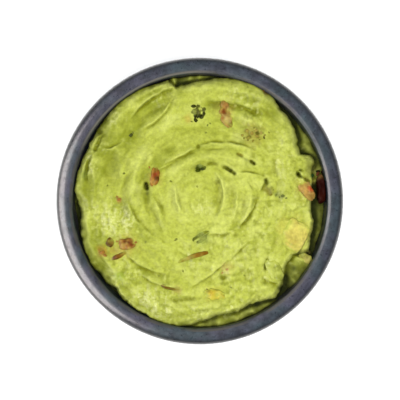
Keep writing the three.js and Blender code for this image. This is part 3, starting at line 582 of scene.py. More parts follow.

# Juice that has run into the dip round the pieces, and painted shade in holes, creases and gaps (the
# near-black and dark olive ones): place, radius, colour, strength.
STAINS_AND_SHADE = [
    ((-40.4, -21.2), 2.6, (188, 140, 56), 0.7), ((-34, -20.5), 3.4, (190, 166, 72), 0.5),
    ((-30, -18), 4.4, (186, 156, 72), 0.4), ((-19, 9.6), 3.2, (186, 152, 64), 0.5),
    ((-22.4, 7.3), 0.7, (10, 12, 6), 0.95), ((-22.2, 6.2), 0.6, (14, 16, 6), 0.95),
    ((-21.7, 5.0), 0.7, (26, 30, 8), 0.95), ((-22, 3.2), 0.8, (96, 102, 20), 0.8),
    ((11, 38), 3.2, (196, 160, 84), 0.5), ((-4.8, 34.2), 1.8, (206, 180, 80), 0.6),
    ((27.8, 5.0), 1.5, (142, 140, 44), 0.85), ((29.2, 3.4), 1.5, (136, 130, 42), 0.85),
    ((29.8, 5.6), 0.8, (130, 132, 48), 0.7), ((22.0, 27.8), 4.3, (170, 160, 60), 0.75),
    ((6.8, 39.2), 2.2, (152, 150, 54), 0.75), ((11.2, -28), 2.2, (204, 174, 100), 0.5),
    ((-33.6, 0.6), 1.3, (180, 130, 60), 0.8), ((-9, -37.2), 1.8, (190, 164, 90), 0.5),
    ((-33.6, -31.2), 2.1, (150, 174, 52), 0.6), ((5.5, -38.5), 3.6, (214, 204, 78), 0.6),
    ((40, -13.6), 6.0, (220, 212, 100), 0.8), ((35.4, -11), 3.4, (216, 210, 88), 0.6),
    ((34, 2.4), 1.7, (126, 136, 62), 0.6), ((31.8, 2.6), 1.0, (130, 140, 64), 0.6),
    ((1.2, -15.0), 2.8, (146, 164, 84), 0.7), ((28, 45.6), 1.5, (110, 62, 30), 0.8),
    ((41.2, 11.2), 0.8, (24, 28, 8), 0.9), ((42.4, 10.2), 0.6, (50, 56, 14), 0.8),
    ((41.9, 12.7), 0.6, (60, 66, 16), 0.7), ((48, 14), 3.2, (112, 108, 50), 0.7),
    ((-48.2, 11), 1.8, (150, 166, 74), 0.5), ((47.0, 10.6), 0.9, (40, 70, 30), 0.8),
    ((45, 5), 4.0, (206, 178, 92), 0.5), ((27.3, 8.7), 0.8, (96, 102, 28), 0.8),
    ((28.0, 7.0), 0.8, (104, 108, 34), 0.8), ((16.0, 19.5), 0.7, (150, 142, 50), 0.7),
    ((17.4, 18.9), 0.7, (150, 142, 50), 0.7), ((21.6, 16.6), 0.7, (88, 86, 20), 0.8),
    ((22.5, 15.8), 0.6, (70, 66, 10), 0.9), ((11.4, 13.5), 0.7, (84, 90, 12), 0.8),
    ((12.9, 12.6), 0.7, (66, 70, 8), 0.9), ((14.4, 11.5), 0.7, (80, 84, 12), 0.8),
    ((24.0, -43.4), 1.0, (36, 42, 12), 0.8), ((-41.5, 27), 2.8, (140, 146, 48), 0.5),
    ((33.9, -36.2), 1.5, (56, 62, 18), 0.85), ((33.8, -33), 1.4, (140, 150, 50), 0.7),
    ((41.2, -20.9), 1.5, (76, 72, 22), 0.9), ((44.6, -21.0), 1.1, (72, 64, 20), 0.7),
    ((39.6, -28.6), 1.3, (80, 90, 30), 0.7), ((-7.0, -52.8), 1.6, (40, 44, 16), 0.7),
]


def toward(colours, target, share):
    """Colours moved a share of the way to another colour."""
    return colours + (target - colours) * share[:, None]


def soft_marked(colours, x, y, at, radius, tint, strength, firmness, ragged):
    """Colours with a soft mark over them, its edge made uneven by ragged noise."""
    return toward(colours, seen(*tint), strength * spot(x, y, at, radius * (1 + 0.35 * ragged), firmness))


def dip_colours(x, y, z, smooth_z):
    """Colour of the dip at each place: painted light on ridges, painted shade in creases, holes and the gap,
    stains round pieces.
    """
    r, turn = np.hypot(x, y), np.arctan2(y, x)
    tone = 0.3 * drift(x, y, 7.0, 61) + 0.25 * drift(x, y, 3.0, 62) + 0.35 * streaks(x, y, 1.6, 63)
    tone = tone + sum(strength * spot(x, y, at, radius) for at, radius, strength in TONES)
    # painted shade: darker towards the wall, where the rim shades the dip
    tone = tone - 0.35 * ease((r - 37) / 12)
    colour = toward(FLESH, PALE_FLESH, np.clip(tone, 0, 1))
    colour = toward(colour, COOL_FLESH, np.clip(-tone, 0, 1))
    # painted light on what stands above the smoothed surface, painted shade in the creases below it
    stand = z - smooth_z
    colour = toward(colour, PALE_FLESH, np.clip(stand * 0.9, 0, 0.8))
    colour = toward(colour, CREASE_SHADE, np.clip(-stand * 1.1, 0, 0.9))
    coarse = coarseness(x, y)
    # pale flecks: crumbs of pulp, and painted wet glints in the coarse and grainy patches
    crumb = flecks(x, y, 1.6, 0.9, 0.6, 0.6, 2.4, 71) * coarse
    grain = flecks(x, y, 0.95, 0.6, 0.6, 0.3, 2.4, 75) * np.clip(patches(x, y, GRAINY), 0, 1)
    colour = toward(colour, CREAM_CRUMB_GLINT, np.maximum(0.5 * crumb, 0.7 * grain))
    clot = flecks(x, y, 1.9, 0.8, 0.4, 0.3, 2.0, 73) * (0.3 + 0.7 * coarse)
    colour = toward(colour, COOL_FLESH, 0.6 * clot)
    ragged = drift(x, y, 1.6, 81)
    for at, radius, tint, strength in STAINS_AND_SHADE:
        colour = soft_marked(colour, x, y, at, radius, tint, strength, 1.4, ragged)
    colour = toward(colour, SEEDY_FLESH, 0.9 * seediness(x, y) * ease(1.2 - 1.6 * seeds(x, y)))
    # painted shade in the gap: darkest at the foot of the heap, and clearing where the dip humps up again
    # beyond it
    _, landing, drop, hump = heap_edge(turn)
    gap_shade_share = 0.94 - 0.27 * np.minimum(hump, 1) * ease((across_gap(r, landing) - 0.25) / 0.4)
    colour = toward(colour, GAP_SHADE, ease((SHADE_LEVEL - z) / 5.0) * gap_shade_share)
    # less light reaches the sides of the heap and the foot of the wall
    colour = colour * (1 - 0.16 * ease((r - 46.5) / 5) * (1 - 0.6 * bearing_share(turn, *SMEAR)))[:, None]
    at_wall = ease((r - 52.3) / 0.8) * ease(drop / 7) * (0.8 - 0.7 * bearing_share(turn, -6, 70))
    return toward(colour, GAP_SHADE * 0.3, at_wall)


def dip_wetness(x, y, z, smooth_z):
    """0 where the dip is matt and 1 where its crumbs glisten, which they don't in creases and the gap."""
    glisten = np.maximum(0.45 * ease((coarseness(x, y) - 0.35) / 0.6), ease(patches(x, y, GRAINY)))
    return glisten * (1 - ease((SHADE_LEVEL - z) / 3.0)) * (1 - ease((smooth_z - z - 0.1) / 0.6))


# ---------------------------------------------------------------- the dip's surface and side

def smoothed(z, order):
    """The heights of a square grid's corners, averaged over their neighbours; order sorts them by row."""
    across, margin, radius = DIP_CELLS + 1, 8, 3
    sheet = np.pad(z[order].reshape(across, across), margin, mode="edge")
    for axis in (0, 1):
        for _ in range(3):
            sheet = sum(np.roll(sheet, k, axis) for k in range(-radius, radius + 1)) / (2 * radius + 1)
    result = np.empty_like(z)
    result[order] = sheet[margin:-margin, margin:-margin].ravel()
    return result


def close_below(dip, edge_turn, edge_z):
    """Gives the dip a side that follows the bowl's wall down, and an underside."""
    top = len(dip.data.vertices)
    edit_open_edge()
    for _ in SIDE_DEPTHS:
        bpy.ops.mesh.extrude_region_move(TRANSFORM_OT_translate={"value": (0, 0, -MM)})
    bpy.ops.mesh.merge(type="CENTER")
    bpy.ops.object.mode_set(mode="OBJECT")
    places = corner_places(dip.data)
    side = places[top:]
    around = np.arctan2(side[:, 1], side[:, 0])
    start_z = np.interp(around, edge_turn, edge_z, period=2 * math.pi)
    ring = np.clip(np.round(start_z - side[:, 2]), 1, len(SIDE_DEPTHS)).astype(int)
    share = np.array(SIDE_DEPTHS)[ring - 1]
    height = start_z + (FLOOR_HEIGHT + 0.4 - start_z) * share
    radius = inside_radius(np.minimum(height, LIP)) - WALL_CLEARANCE - 0.2
    radius = np.where(share >= 1, 0.0, radius)
    places[top:] = np.column_stack([radius * np.cos(around), radius * np.sin(around), height])
    move_corners(dip.data, *places.T)


def make_dip(flesh):
    dip, square, reach, turn = round_sheet(DIP_CELLS)
    edge_z = dip_height(MOUTH_RADIUS * np.cos(turn), MOUTH_RADIUS * np.sin(turn))
    edge = inside_radius(np.minimum(edge_z, LIP)) - WALL_CLEARANCE
    x, y = reach * edge * np.cos(turn), reach * edge * np.sin(turn)
    z = dip_height(x, y)
    move_corners(dip.data, x, y, z)
    smooth_z = smoothed(z, np.lexsort((square[:, 0], square[:, 1])))
    at_edge = reach > 1 - 1e-6
    close_below(dip, turn[at_edge], z[at_edge])
    colours = np.tile(FLESH, (len(dip.data.vertices), 1))
    colours[:len(z)] = dip_colours(x, y, z, smooth_z)
    paint(dip, colours)
    wet = np.zeros(len(colours))
    wet[:len(z)] = dip_wetness(x, y, z, smooth_z)
    dip.data.attributes.new("wet", "FLOAT", "POINT").data.foreach_set("value", wet)
    return finish_piece(dip, "guacamole_dip", flesh, "guacamole", "guacamole")


# ---------------------------------------------------------------- cut pieces in the dip

def cut_block(size, rounding):
    """A block cut with a knife, its edges rounded and its faces split so that they can be worked."""
    deselect()
    bpy.ops.mesh.primitive_cube_add(size=MM)
    bpy.ops.transform.resize(value=size)
    bpy.ops.object.transform_apply(location=False, rotation=False, scale=True)
    bpy.ops.object.mode_set(mode="EDIT")
    bpy.ops.mesh.select_all(action="SELECT")
    bpy.ops.mesh.bevel(offset=rounding * MM, segments=2, affect="EDGES")
    bpy.ops.mesh.select_all(action="SELECT")
    bpy.ops.mesh.subdivide(number_cuts=3 if max(size) > 5 else 2)
    bpy.ops.object.mode_set(mode="OBJECT")
    block = bpy.context.object
    smoother = block.modifiers.new("smooth", "SUBSURF")
    smoother.levels = smoother.render_levels = 2
    bpy.ops.object.modifier_apply(modifier=smoother.name)
    return block


def under_film(colours, x, y, z, film, soft, seed):
    """Colours of a piece whose low parts are smeared with dip, fading out over a soft height."""
    clear = z - dip_height(x, y) + 0.2 * drift(x, y, 1.4, seed)
    smear = 0.15 * flecks(x, y, 1.5, 0.7, 0.5, 0.4, 2.2, seed + 1)
    return toward(colours, FLESH, film * np.maximum(1 - ease(clear / soft), smear))


def marked(x, y, base, marks, seed):
    """A base colour with soft uneven marks: place, radius and colour, each 0 to 255 as seen."""
    colours = np.tile(seen(*base), (len(x), 1))
    ragged = drift(x, y, 1.0, seed + 1)
    for at, radius, tint in marks:
        colours = soft_marked(colours, x, y, at, radius, tint, 1, 1.6, ragged)
    mottle = 1 + 0.16 * drift(x, y, 1.0, seed) + 0.16 * drift(x, y, 0.55, seed + 4)
    return colours * mottle[:, None]


def lay_piece(node, name, finish, slot_name, seed, at, size, heading, proud, base, marks,
              rounding=None, uneven=0.3, taper=0.3, bend=0.0, lean=0.0, film=0.9, soft=0.6, follow=False):
    """Cuts a piece, makes it uneven, and beds it in the dip so that its top stands proud."""
    length, width, thick = size
    piece = cut_block(size, rounding or 0.24 * min(size))
    local = corner_places(piece.data)
    a, b, c = local.T
    for spread, depth, draw in ((1.7, 1.0, seed), (0.8, 0.4, seed + 3)):
        shift = [drift(b + c, c - a, spread, draw), drift(a, c + b, spread, draw + 1),
                 drift(a, b, spread, draw + 2)]
        local = local + uneven * depth * np.column_stack(shift)
    a, b, c = local.T
    along = a / (length / 2)
    slim = 1 - taper * np.abs(along) ** 2.5
    b, c = b * slim + bend * (along ** 2 - 0.4), c * slim + lean * along
    turn = math.radians(heading)
    x, y = turned(at, turn, a, b)
    bed = dip_height(*turned(at, turn, a, 0)) if follow else np.percentile(dip_height(x, y), 70)
    z = bed + proud - thick / 2 + c
    move_corners(piece.data, x, y, z)
    paint(piece, under_film(marked(x, y, base, marks, seed + 6), x, y, z, film, soft, seed + 8))
    return finish_piece(piece, name, finish, slot_name, node)


def lay_leaf(node, name, finish, seed, at, size, heading, lobes, notch, wave, proud, film, base, marks):
    """A chopped leaf: a lobed blade, thickened, creased along its vein and crumpled into the dip."""
    leaf, _, reach, turn = round_sheet(30)
    edge = 1 - notch * (0.5 + 0.5 * np.cos(lobes * turn + seed))
    edge = edge + 0.12 * drift(3 * np.cos(turn), 3 * np.sin(turn), 1, seed)
    a, b = size[0] / 2 * reach * edge * np.cos(turn), size[1] / 2 * reach * edge * np.sin(turn)
    vein = 0.3 * np.exp(-(b / 0.3) ** 2)
    rise = wave * (drift(a, b, 1.5, seed + 1) + 0.5 * drift(a, b, 0.8, seed + 2)) - vein
    x, y = turned(at, math.radians(heading), a, b)
    bed = dip_height(x, y)
    move_corners(leaf.data, x, y, np.mean(bed) * 0.4 + bed * 0.6 + proud + rise)
    thickness = leaf.modifiers.new("thickness", "SOLIDIFY")
    thickness.thickness = 0.3 * MM
    thickness.offset = -1
    bpy.ops.object.modifier_apply(modifier=thickness.name)
    x, y, z = corner_places(leaf.data).T
    paint(leaf, under_film(marked(x, y, base, marks, seed + 3), x, y, z, film, 0.4, seed + 5))
    return finish_piece(leaf, name, finish, "leaf", node)


def lay_skin(finish, at_radius, bearing, length, wide, base, marks, seed):
    """A curl of tomato skin standing in the gap along the wall."""
    low_corner, high_corner = (np.array(corner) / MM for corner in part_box("tomato_skin"))
    height = high_corner[2] - low_corner[2]
    skin = cut_block((wide, length, height), 0.9)
    a, b, c = corner_places(skin.data).T
    end = np.abs(b) / (length / 2)
    a = a * (1 - 0.35 * end ** 3) + 0.35 * drift(b, c, 2.6, seed) + 0.2 * drift(b, c, 1.1, seed + 1)
    b = b + 0.45 * a + 0.3 * drift(c, a, 1.5, seed + 4)
    r = np.minimum(at_radius + a - 0.05 * (c + height / 2), MOUTH_RADIUS - 0.6)
    turn = math.radians(bearing) + b / at_radius
    z = low_corner[2] + height / 2 + c - 0.9 * end ** 2 + 0.35 * drift(a, b, 1.4, seed + 2)
    x, y = r * np.cos(turn), r * np.sin(turn)
    move_corners(skin.data, x, y, z)
    paint(skin, marked(x, y, base, marks, seed + 3))
    return finish_piece(skin, "tomato_skin_curl", finish, "tomato_skin", "tomato_skin")


def sprinkle(name, finish, slot_name, crumbs, seed):
    """Small crumbs pressed into the dip, as one piece: place, width and colour of each."""
    deselect()
    shapes = []
    for k, (at, width, tint) in enumerate(crumbs):
        bpy.ops.mesh.primitive_ico_sphere_add(subdivisions=3, radius=1)
        crumb = bpy.context.object
        a, b, c = corner_places(crumb.data, 1).T
        swell = width * (1 + 0.35 * drift(a + 2 * k, b - c, 0.7, seed + k))
        x, y = turned(at, 2.4 * k, a * swell * 0.62, b * swell * 0.42)
        z = np.mean(dip_height(x, y)) + 0.12 * width + c * swell * 0.3
        move_corners(crumb.data, x, y, z)
        paint(crumb, np.tile(seen(*tint), (len(x), 1)))
        shapes.append(crumb)
    for crumb in shapes:
        crumb.select_set(True)
    bpy.context.view_layer.objects.active = shapes[0]
    bpy.ops.object.join()
    return finish_piece(bpy.context.object, name, finish, slot_name)


# What each kind of piece is made of: name, roughness, gloss, how far light soaks in and in what
# colour, and the scale and the depth of its grain.
WET_FINISHES = {
    "tomato": ("wet_tomato", 0.3, 0.1, 0.04, (1.0, 0.7, 0.4), 900, 0.15),
    "pepper": ("soft_pepper", 0.35, 0.08, 0.08, (1.0, 0.5, 0.2), 1100, 0.15),
    "avocado": ("ripe_avocado", 0.35, 0.12, 0.15, (1.0, 1.0, 0.4), 700, 0.3),
    "onion": ("raw_onion", 0.25, 0.25, 0.15, (1.0, 1.0, 0.7), 700, 0.2),
    "leaf": ("chopped_leaf", 0.45, 0.06, 0.05, (0.5, 1.0, 0.3), 1800, 0.3),
    "skin": ("tomato_skin_gloss", 0.5, 0.04, 0.03, (1.0, 0.3, 0.2), 700, 0.1),
}
HOW_CUT = {"tomato": "cut", "pepper": "sliced", "avocado": "soft", "onion": "raw"}
SEED_STEP = 10  # between the random draws of one piece and the next
PIECE_SEED, LEAF_SEED, SKIN_SEED = 101, 221, 301

# The cut pieces: place, length, width and thickness, heading in degrees, how far the top stands above the
# dip, colour, and marks (place, radius, colour). Then what sets the piece off from the rest: how uneven,
# how tapered, bent or leaning it is, and how thick and how soft-edged the film of dip on it.
PIECES = {
    "tomato_left": dict(
        at=(-18.7, 10.3), size=(7.6, 3.8, 3.6), heading=82, proud=1.0, base=(178, 124, 50),
        marks=[((-18.2, 11.0), 1.7, (150, 62, 22)), ((-17.8, 9.4), 1.3, (86, 26, 0)),
               ((-18.2, 13.0), 1.1, (132, 92, 28)), ((-19.8, 8.0), 1.3, (182, 140, 62)),
               ((-20.0, 12.4), 0.9, (184, 146, 66))],
        bend=0.4, film=0.45, soft=0.7),
    "tomato_top": dict(
        at=(11.0, 36.4), size=(11.6, 4.6, 3.4), heading=104, proud=0.95, base=(180, 148, 68),
        marks=[((10.3, 37.3), 1.4, (128, 58, 14)), ((10.6, 40.0), 1.5, (168, 122, 58)),
               ((11.5, 33.8), 1.8, (200, 178, 96)), ((13.2, 32.2), 1.3, (140, 122, 46)),
               ((9.4, 34.6), 0.8, (168, 116, 50)), ((12.2, 38.4), 1.0, (206, 172, 98))],
        bend=-0.5, uneven=0.6, taper=0.45, film=0.85, soft=0.8),
    "tomato_right": dict(
        at=(44.3, 4.9), size=(10.0, 4.8, 4.4), heading=126, proud=0.65, base=(198, 160, 82),
        marks=[((46.4, 5.3), 1.6, (190, 86, 42)), ((42.6, 8.2), 1.8, (184, 156, 66)),
               ((46.9, 2.0), 1.6, (146, 108, 48)), ((44.4, 3.4), 1.2, (200, 158, 78)),
               ((45.6, 7.2), 0.8, (206, 166, 90))],
        taper=0.45, uneven=0.5, film=0.85, soft=0.8),
    "tomato_dice_a": dict(
        at=(-30.1, -17.7), size=(7.4, 4.4, 3.2), heading=8, proud=0.8, base=(172, 126, 56),
        marks=[((-28.3, -17.6), 1.6, (134, 68, 26)), ((-30.4, -18.7), 0.8, (168, 120, 56)),
               ((-32.5, -18.9), 1.2, (194, 156, 80)), ((-31.4, -16.9), 0.8, (120, 70, 28)),
               ((-29.4, -19.7), 0.7, (190, 160, 80)), ((-27.4, -18.9), 0.6, (176, 132, 60)),
               ((-29.6, -17.2), 0.5, (112, 60, 20))],
        uneven=0.5, film=0.8, soft=0.8),
    "tomato_dice_b": dict(
        at=(-37.3, -17.2), size=(4.0, 3.0, 2.6), heading=60, proud=0.55, base=(106, 78, 20),
        marks=[((-36.4, -17.0), 1.0, (126, 94, 30)), ((-38.4, -16.6), 0.7, (136, 112, 38))],
        uneven=0.35, film=0.6, soft=0.7),
    "tomato_dice_c": dict(
        at=(-33.7, -22.8), size=(7.8, 1.9, 2.0), heading=26, proud=0.5, base=(140, 94, 26),
        marks=[((-35.8, -23.6), 1.5, (112, 62, 8)), ((-31.8, -21.8), 1.4, (146, 122, 44))],
        taper=0.75, bend=0.3, film=0.7),
    "pepper_strip": dict(
        at=(-2.9, -23.1), size=(13.2, 1.9, 1.9), heading=18, proud=0.6, base=(168, 142, 52),
        marks=[((2.2, -21.5), 2.0, (136, 94, 18)), ((-0.8, -22.3), 1.4, (148, 108, 32)),
               ((-4.0, -23.7), 1.4, (172, 156, 60)), ((-8.2, -25.3), 2.4, (134, 116, 34))],
        taper=0.25, bend=-0.3, lean=0.4, uneven=0.15, film=0.6, follow=True),
    "pepper_shred": dict(
        at=(-12.4, -35.9), size=(8.2, 1.7, 1.6), heading=-15, proud=0.6, base=(122, 98, 34),
        marks=[((-13.0, -35.7), 1.2, (112, 78, 24)), ((-9.2, -37.0), 1.2, (150, 132, 60))],
        taper=0.5, bend=0.3, uneven=0.15, film=0.7, follow=True),
    "avocado_chunk": dict(
        at=(39.2, -14.2), size=(13.8, 11.8, 6.2), heading=62, proud=0.95, base=(222, 208, 100),
        marks=[((36.5, -10.0), 2.8, (232, 228, 112)), ((41.0, -13.6), 2.6, (224, 210, 102)),
               ((44.0, -18.0), 2.2, (220, 206, 108)), ((38.6, -17.0), 2.0, (216, 198, 92)),
               ((42.8, -10.4), 1.6, (226, 222, 106))],
        rounding=2.2, uneven=0.25, taper=0.2, film=1.0, lean=0.1, soft=1.5),
    "avocado_bit": dict(
        at=(5.9, -38.7), size=(9.0, 4.4, 2.8), heading=-14, proud=0.6, base=(214, 198, 68),
        marks=[((4.6, -38.2), 1.2, (216, 188, 56)), ((7.6, -38.6), 1.2, (220, 212, 96)),
               ((3.2, -37.4), 0.9, (136, 120, 36)), ((8.8, -39.8), 1.0, (212, 204, 92))],
        uneven=0.6, film=1.0, soft=1.2),
    "avocado_edge": dict(
        at=(44.4, -23.8), size=(5.4, 3.8, 3.0), heading=-36, proud=0.6, base=(174, 170, 76),
        marks=[((45.2, -24.6), 1.3, (194, 184, 98)), ((46.0, -21.8), 0.9, (72, 64, 20)),
               ((43.0, -22.6), 1.0, (170, 172, 80))],
        uneven=0.35),
    "onion_chunk": dict(
        at=(31.0, -28.7), size=(10.4, 6.2, 4.6), heading=-66, proud=0.45, base=(192, 200, 90),
        # the pale marks on its left side are painted light, the darker ones on its right side painted shade
        marks=[((29.2, -25.6), 1.4, (212, 220, 128)), ((29.4, -30.8), 1.4, (204, 212, 110)),
               ((33.2, -28.0), 2.0, (168, 176, 68)), ((33.0, -31.6), 1.4, (160, 168, 62)),
               ((31.4, -24.6), 1.0, (188, 196, 82))],
        rounding=1.4, uneven=0.35, taper=0.25, film=1.0, soft=1.1),
}

# The leaves: as above, with how many lobes they have, how deeply notched they are and how wavy.
LEAVES = {
    "leaf_top": dict(
        at=(-0.5, 37.1), size=(6.6, 5.8), heading=72, lobes=5, notch=0.3, wave=0.8, proud=0.45, film=0.5,
        base=(104, 108, 40),
        # the near-black marks are painted shade among the leaf's chopped bits
        marks=[((-1.5, 34.8), 1.5, (30, 32, 4)), ((1.0, 35.9), 1.5, (30, 32, 4)),
               ((-2.5, 39.4), 0.9, (50, 56, 16)), ((0.5, 38.1), 0.7, (64, 68, 22)),
               ((-2.3, 37.2), 1.2, (152, 158, 70)), ((-0.7, 37.0), 0.7, (120, 120, 62))]),
    "leaf_centre": dict(
        at=(0.1, 13.9), size=(5.0, 3.8), heading=20, lobes=3, notch=0.3, wave=0.3, proud=0.35, film=0.5,
        base=(92, 104, 22),
        marks=[((0.7, 12.9), 1.5, (36, 48, 0)), ((-1.3, 13.6), 0.9, (56, 64, 8)),
               ((0.3, 15.0), 1.0, (140, 152, 72))]),
    "leaf_mid": dict(
        at=(0.7, -14.9), size=(8.4, 4.2), heading=34, lobes=3, notch=0.25, wave=0.3, proud=0.35, film=0.2,
        base=(152, 162, 74),
        marks=[((-1.9, -16.1), 1.7, (90, 98, 26)), ((2.6, -13.0), 1.0, (136, 142, 40))]),
}

SKIN = dict(
    at_radius=51.7, bearing=5.6, length=11.8, wide=3.7, base=(44, 12, 6),
    marks=[((50.0, 10.8), 1.6, (116, 84, 44)), ((52.0, 2.0), 2.4, (52, 16, 6)),
           ((50.4, 6.4), 1.4, (36, 8, 4))])

# Specks of chopped leaf: place, width, colour as seen.
HERB_CRUMBS = [
    ((-2.7, 39.6), 1.7, (62, 66, 16)), ((-1.8, 33.8), 1.6, (60, 64, 16)), ((1.7, 36.6), 1.5, (58, 62, 16)),
    ((-28.8, 27.5), 1.5, (84, 90, 36)), ((-31.6, 11.5), 0.9, (132, 140, 52)),
    ((-12.0, 8.2), 0.9, (142, 150, 54)), ((-1.0, 6.0), 0.9, (168, 174, 70)),
    ((3.2, 31.6), 0.8, (134, 142, 58)), ((2.6, 28.6), 0.7, (144, 152, 60)),
    ((4.4, 32.4), 0.7, (134, 142, 56)), ((-7.0, -29.0), 0.8, (152, 158, 62)),
    ((-22.5, -17.0), 0.9, (152, 158, 66)), ((-10.0, -16.0), 1.1, (142, 148, 56)),
    ((13.0, -36.0), 0.8, (160, 166, 70)), ((18.6, -31.0), 0.8, (156, 162, 66)),
    ((31.8, 2.6), 1.0, (138, 146, 62)), ((34.6, 2.2), 1.3, (118, 126, 58)),
    ((36.0, 1.2), 0.8, (140, 148, 70)), ((3.2, -36.9), 0.9, (126, 114, 44)),
    ((46.2, -21.6), 1.4, (84, 76, 36)), ((47.0, 10.6), 1.4, (40, 66, 28)),
    ((49.6, 12.6), 1.4, (34, 30, 14)), ((51.6, 12.4), 1.2, (48, 24, 14)),
    # the near-black speck at (-30.2, -15.9) is painted shade in the dice's hole
    ((-30.2, -15.9), 1.3, (40, 30, 8)), ((27.3, 7.8), 1.0, (98, 104, 32)),
    ((29.6, 2.6), 0.9, (146, 140, 46)), ((-16.9, -31.2), 0.8, (156, 162, 66)),
    ((-28.0, 28.5), 0.8, (132, 138, 54)), ((33.2, 1.6), 0.7, (126, 134, 60)),
    ((30.6, 4.6), 0.7, (150, 154, 62)), ((-3.4, 33.2), 0.7, (122, 128, 48)),
    ((20.0, 47.4), 0.7, (150, 156, 62)), ((-38.6, 6.4), 0.8, (140, 148, 50)),
]

# The seedy lump: tan crumbs with dark ones between.
SEED_CRUMBS = [
    ((17.8, 27.4), 1.2, (172, 160, 68)), ((19.6, 29.2), 1.5, (178, 164, 70)),
    ((21.6, 28.2), 1.6, (174, 156, 66)), ((23.4, 29.4), 1.3, (178, 164, 74)),
    ((20.4, 26.4), 1.4, (160, 148, 56)), ((23.8, 27.0), 1.5, (170, 154, 64)),
    ((25.6, 28.4), 1.2, (178, 166, 78)), ((22.2, 25.2), 1.1, (150, 142, 50)),
    ((27.0, 27.4), 0.9, (160, 152, 62)), ((20.0, 25.4), 0.8, (138, 130, 48)),
    ((26.7, 26.4), 0.9, (98, 94, 26)), ((18.4, 26.2), 0.7, (142, 134, 50)),
    ((24.9, 25.6), 0.7, (148, 140, 54)), ((22.5, 30.4), 0.7, (148, 142, 54)),
    ((28.8, 28.6), 0.7, (150, 146, 58)),
]

# Shreds of tomato and pepper too small to be cut pieces.
TOMATO_CRUMBS = [
    ((-33.6, 0.8), 1.4, (176, 122, 56)), ((-34.4, 1.8), 0.9, (176, 140, 62)),
    ((28.4, 45.4), 2.6, (96, 56, 28)), ((26.6, 45.9), 1.2, (112, 84, 34)),
    ((-40.6, -21.4), 2.0, (178, 126, 50)), ((-39.4, -22.6), 1.3, (168, 116, 46)),
    ((-42.0, -20.6), 1.1, (184, 144, 60)), ((49.6, 11.6), 1.6, (96, 50, 28)),
    ((11.4, -28.4), 1.0, (200, 162, 92)), ((-19.9, 6.6), 1.1, (180, 134, 60)),
    ((-21.0, 14.0), 0.8, (170, 124, 54)), ((9.4, -29.8), 0.8, (194, 158, 84)),
    ((-26.6, -17.2), 0.9, (170, 120, 56)), ((-34.6, -16.8), 0.9, (176, 142, 64)),
]


def make_pieces():
    finishes = {kind: wet_finish(*looks) for kind, looks in WET_FINISHES.items()}
    for k, (node, shape) in enumerate(PIECES.items()):
        kind = node.split("_")[0]
        lay_piece(node, f"{HOW_CUT[kind]}_{node}", finishes[kind], kind, PIECE_SEED + SEED_STEP * k, **shape)
    for k, (node, shape) in enumerate(LEAVES.items()):
        lay_leaf(node, f"chopped_{node}", finishes["leaf"], LEAF_SEED + SEED_STEP * k, **shape)
    lay_skin(finishes["skin"], seed=SKIN_SEED, **SKIN)
    sprinkle("herb_crumbs", finishes["leaf"], "leaf", HERB_CRUMBS, 401)
    sprinkle("seed_crumbs", finishes["leaf"], "leaf", SEED_CRUMBS, 451)
    sprinkle("tomato_crumbs", finishes["tomato"], "tomato", TOMATO_CRUMBS, 501)


# ---------------------------------------------------------------- finishes

BLACK, WHITE = (0, 0, 0), (1, 1, 1)


def grey(level):
    return level, level, level


class Finish:
    """A material and short ways to add nodes to it. A value is a number, a colour or a node's result."""

    def __init__(self, name):
        self.material = bpy.data.materials.new(name)
        self.material.use_nodes = True
        self.tree = self.material.node_tree
        self.shader = self.tree.nodes["Principled BSDF"]

    def fill(self, node, values):
        for name, value in values.items():
            socket = node.inputs[name]
            if isinstance(value, bpy.types.NodeSocket):
                self.tree.links.new(value, socket)
            elif socket.type == "RGBA":
                socket.default_value = (*value, 1)
            else:
                socket.default_value = value

    def add(self, kind, values, **settings):
        node = self.tree.nodes.new("ShaderNode" + kind)
        for name, value in settings.items():
            setattr(node, name, value)
        self.fill(node, values)
        return node.outputs

    def shade(self, **values):
        """Sets the shader's own values, whose names are written with _ for a space."""
        self.fill(self.shader, {name.replace("_", " "): value for name, value in values.items()})
        return self.material

    def noise(self, place, scale, detail, roughness):
        values = {"Vector": place, "Scale": scale, "Detail": detail, "Roughness": roughness}
        return self.add("TexNoise", values)["Fac"]

    def calculate(self, operation, *values):
        return self.add("Math", dict(enumerate(values)), operation=operation)["Value"]

    def mapped(self, value, low, high, to_low, to_high):
        values = {"Value": value, "From Min": low, "From Max": high, "To Min": to_low, "To Max": to_high}
        return self.add("MapRange", values)["Result"]

    def ramp(self, value, *stops):
        result = self.add("ValToRGB", {"Fac": value})["Color"]
        elements = result.node.color_ramp.elements
        while len(elements) < len(stops):
            elements.new(0.5)
        for element, (position, colour) in zip(elements, stops):
            element.position = position
            element.color = (*colour, 1)
        return result

    def blend(self, share, a, b, how="MIX"):
        return self.add("Mix", {"Factor": share, 6: a, 7: b}, data_type="RGBA", blend_type=how)[2]

    def painted(self, strength):
        """The colour painted on the piece, with its strength varied."""
        tint = self.add("VertexColor", {}, layer_name="tint")["Color"]
        return self.add("VectorMath", {0: tint, "Scale": strength}, operation="SCALE")["Vector"]

    def bump(self, height, strength, distance):
        return self.add("Bump", {"Height": height, "Strength": strength, "Distance": distance})["Normal"]


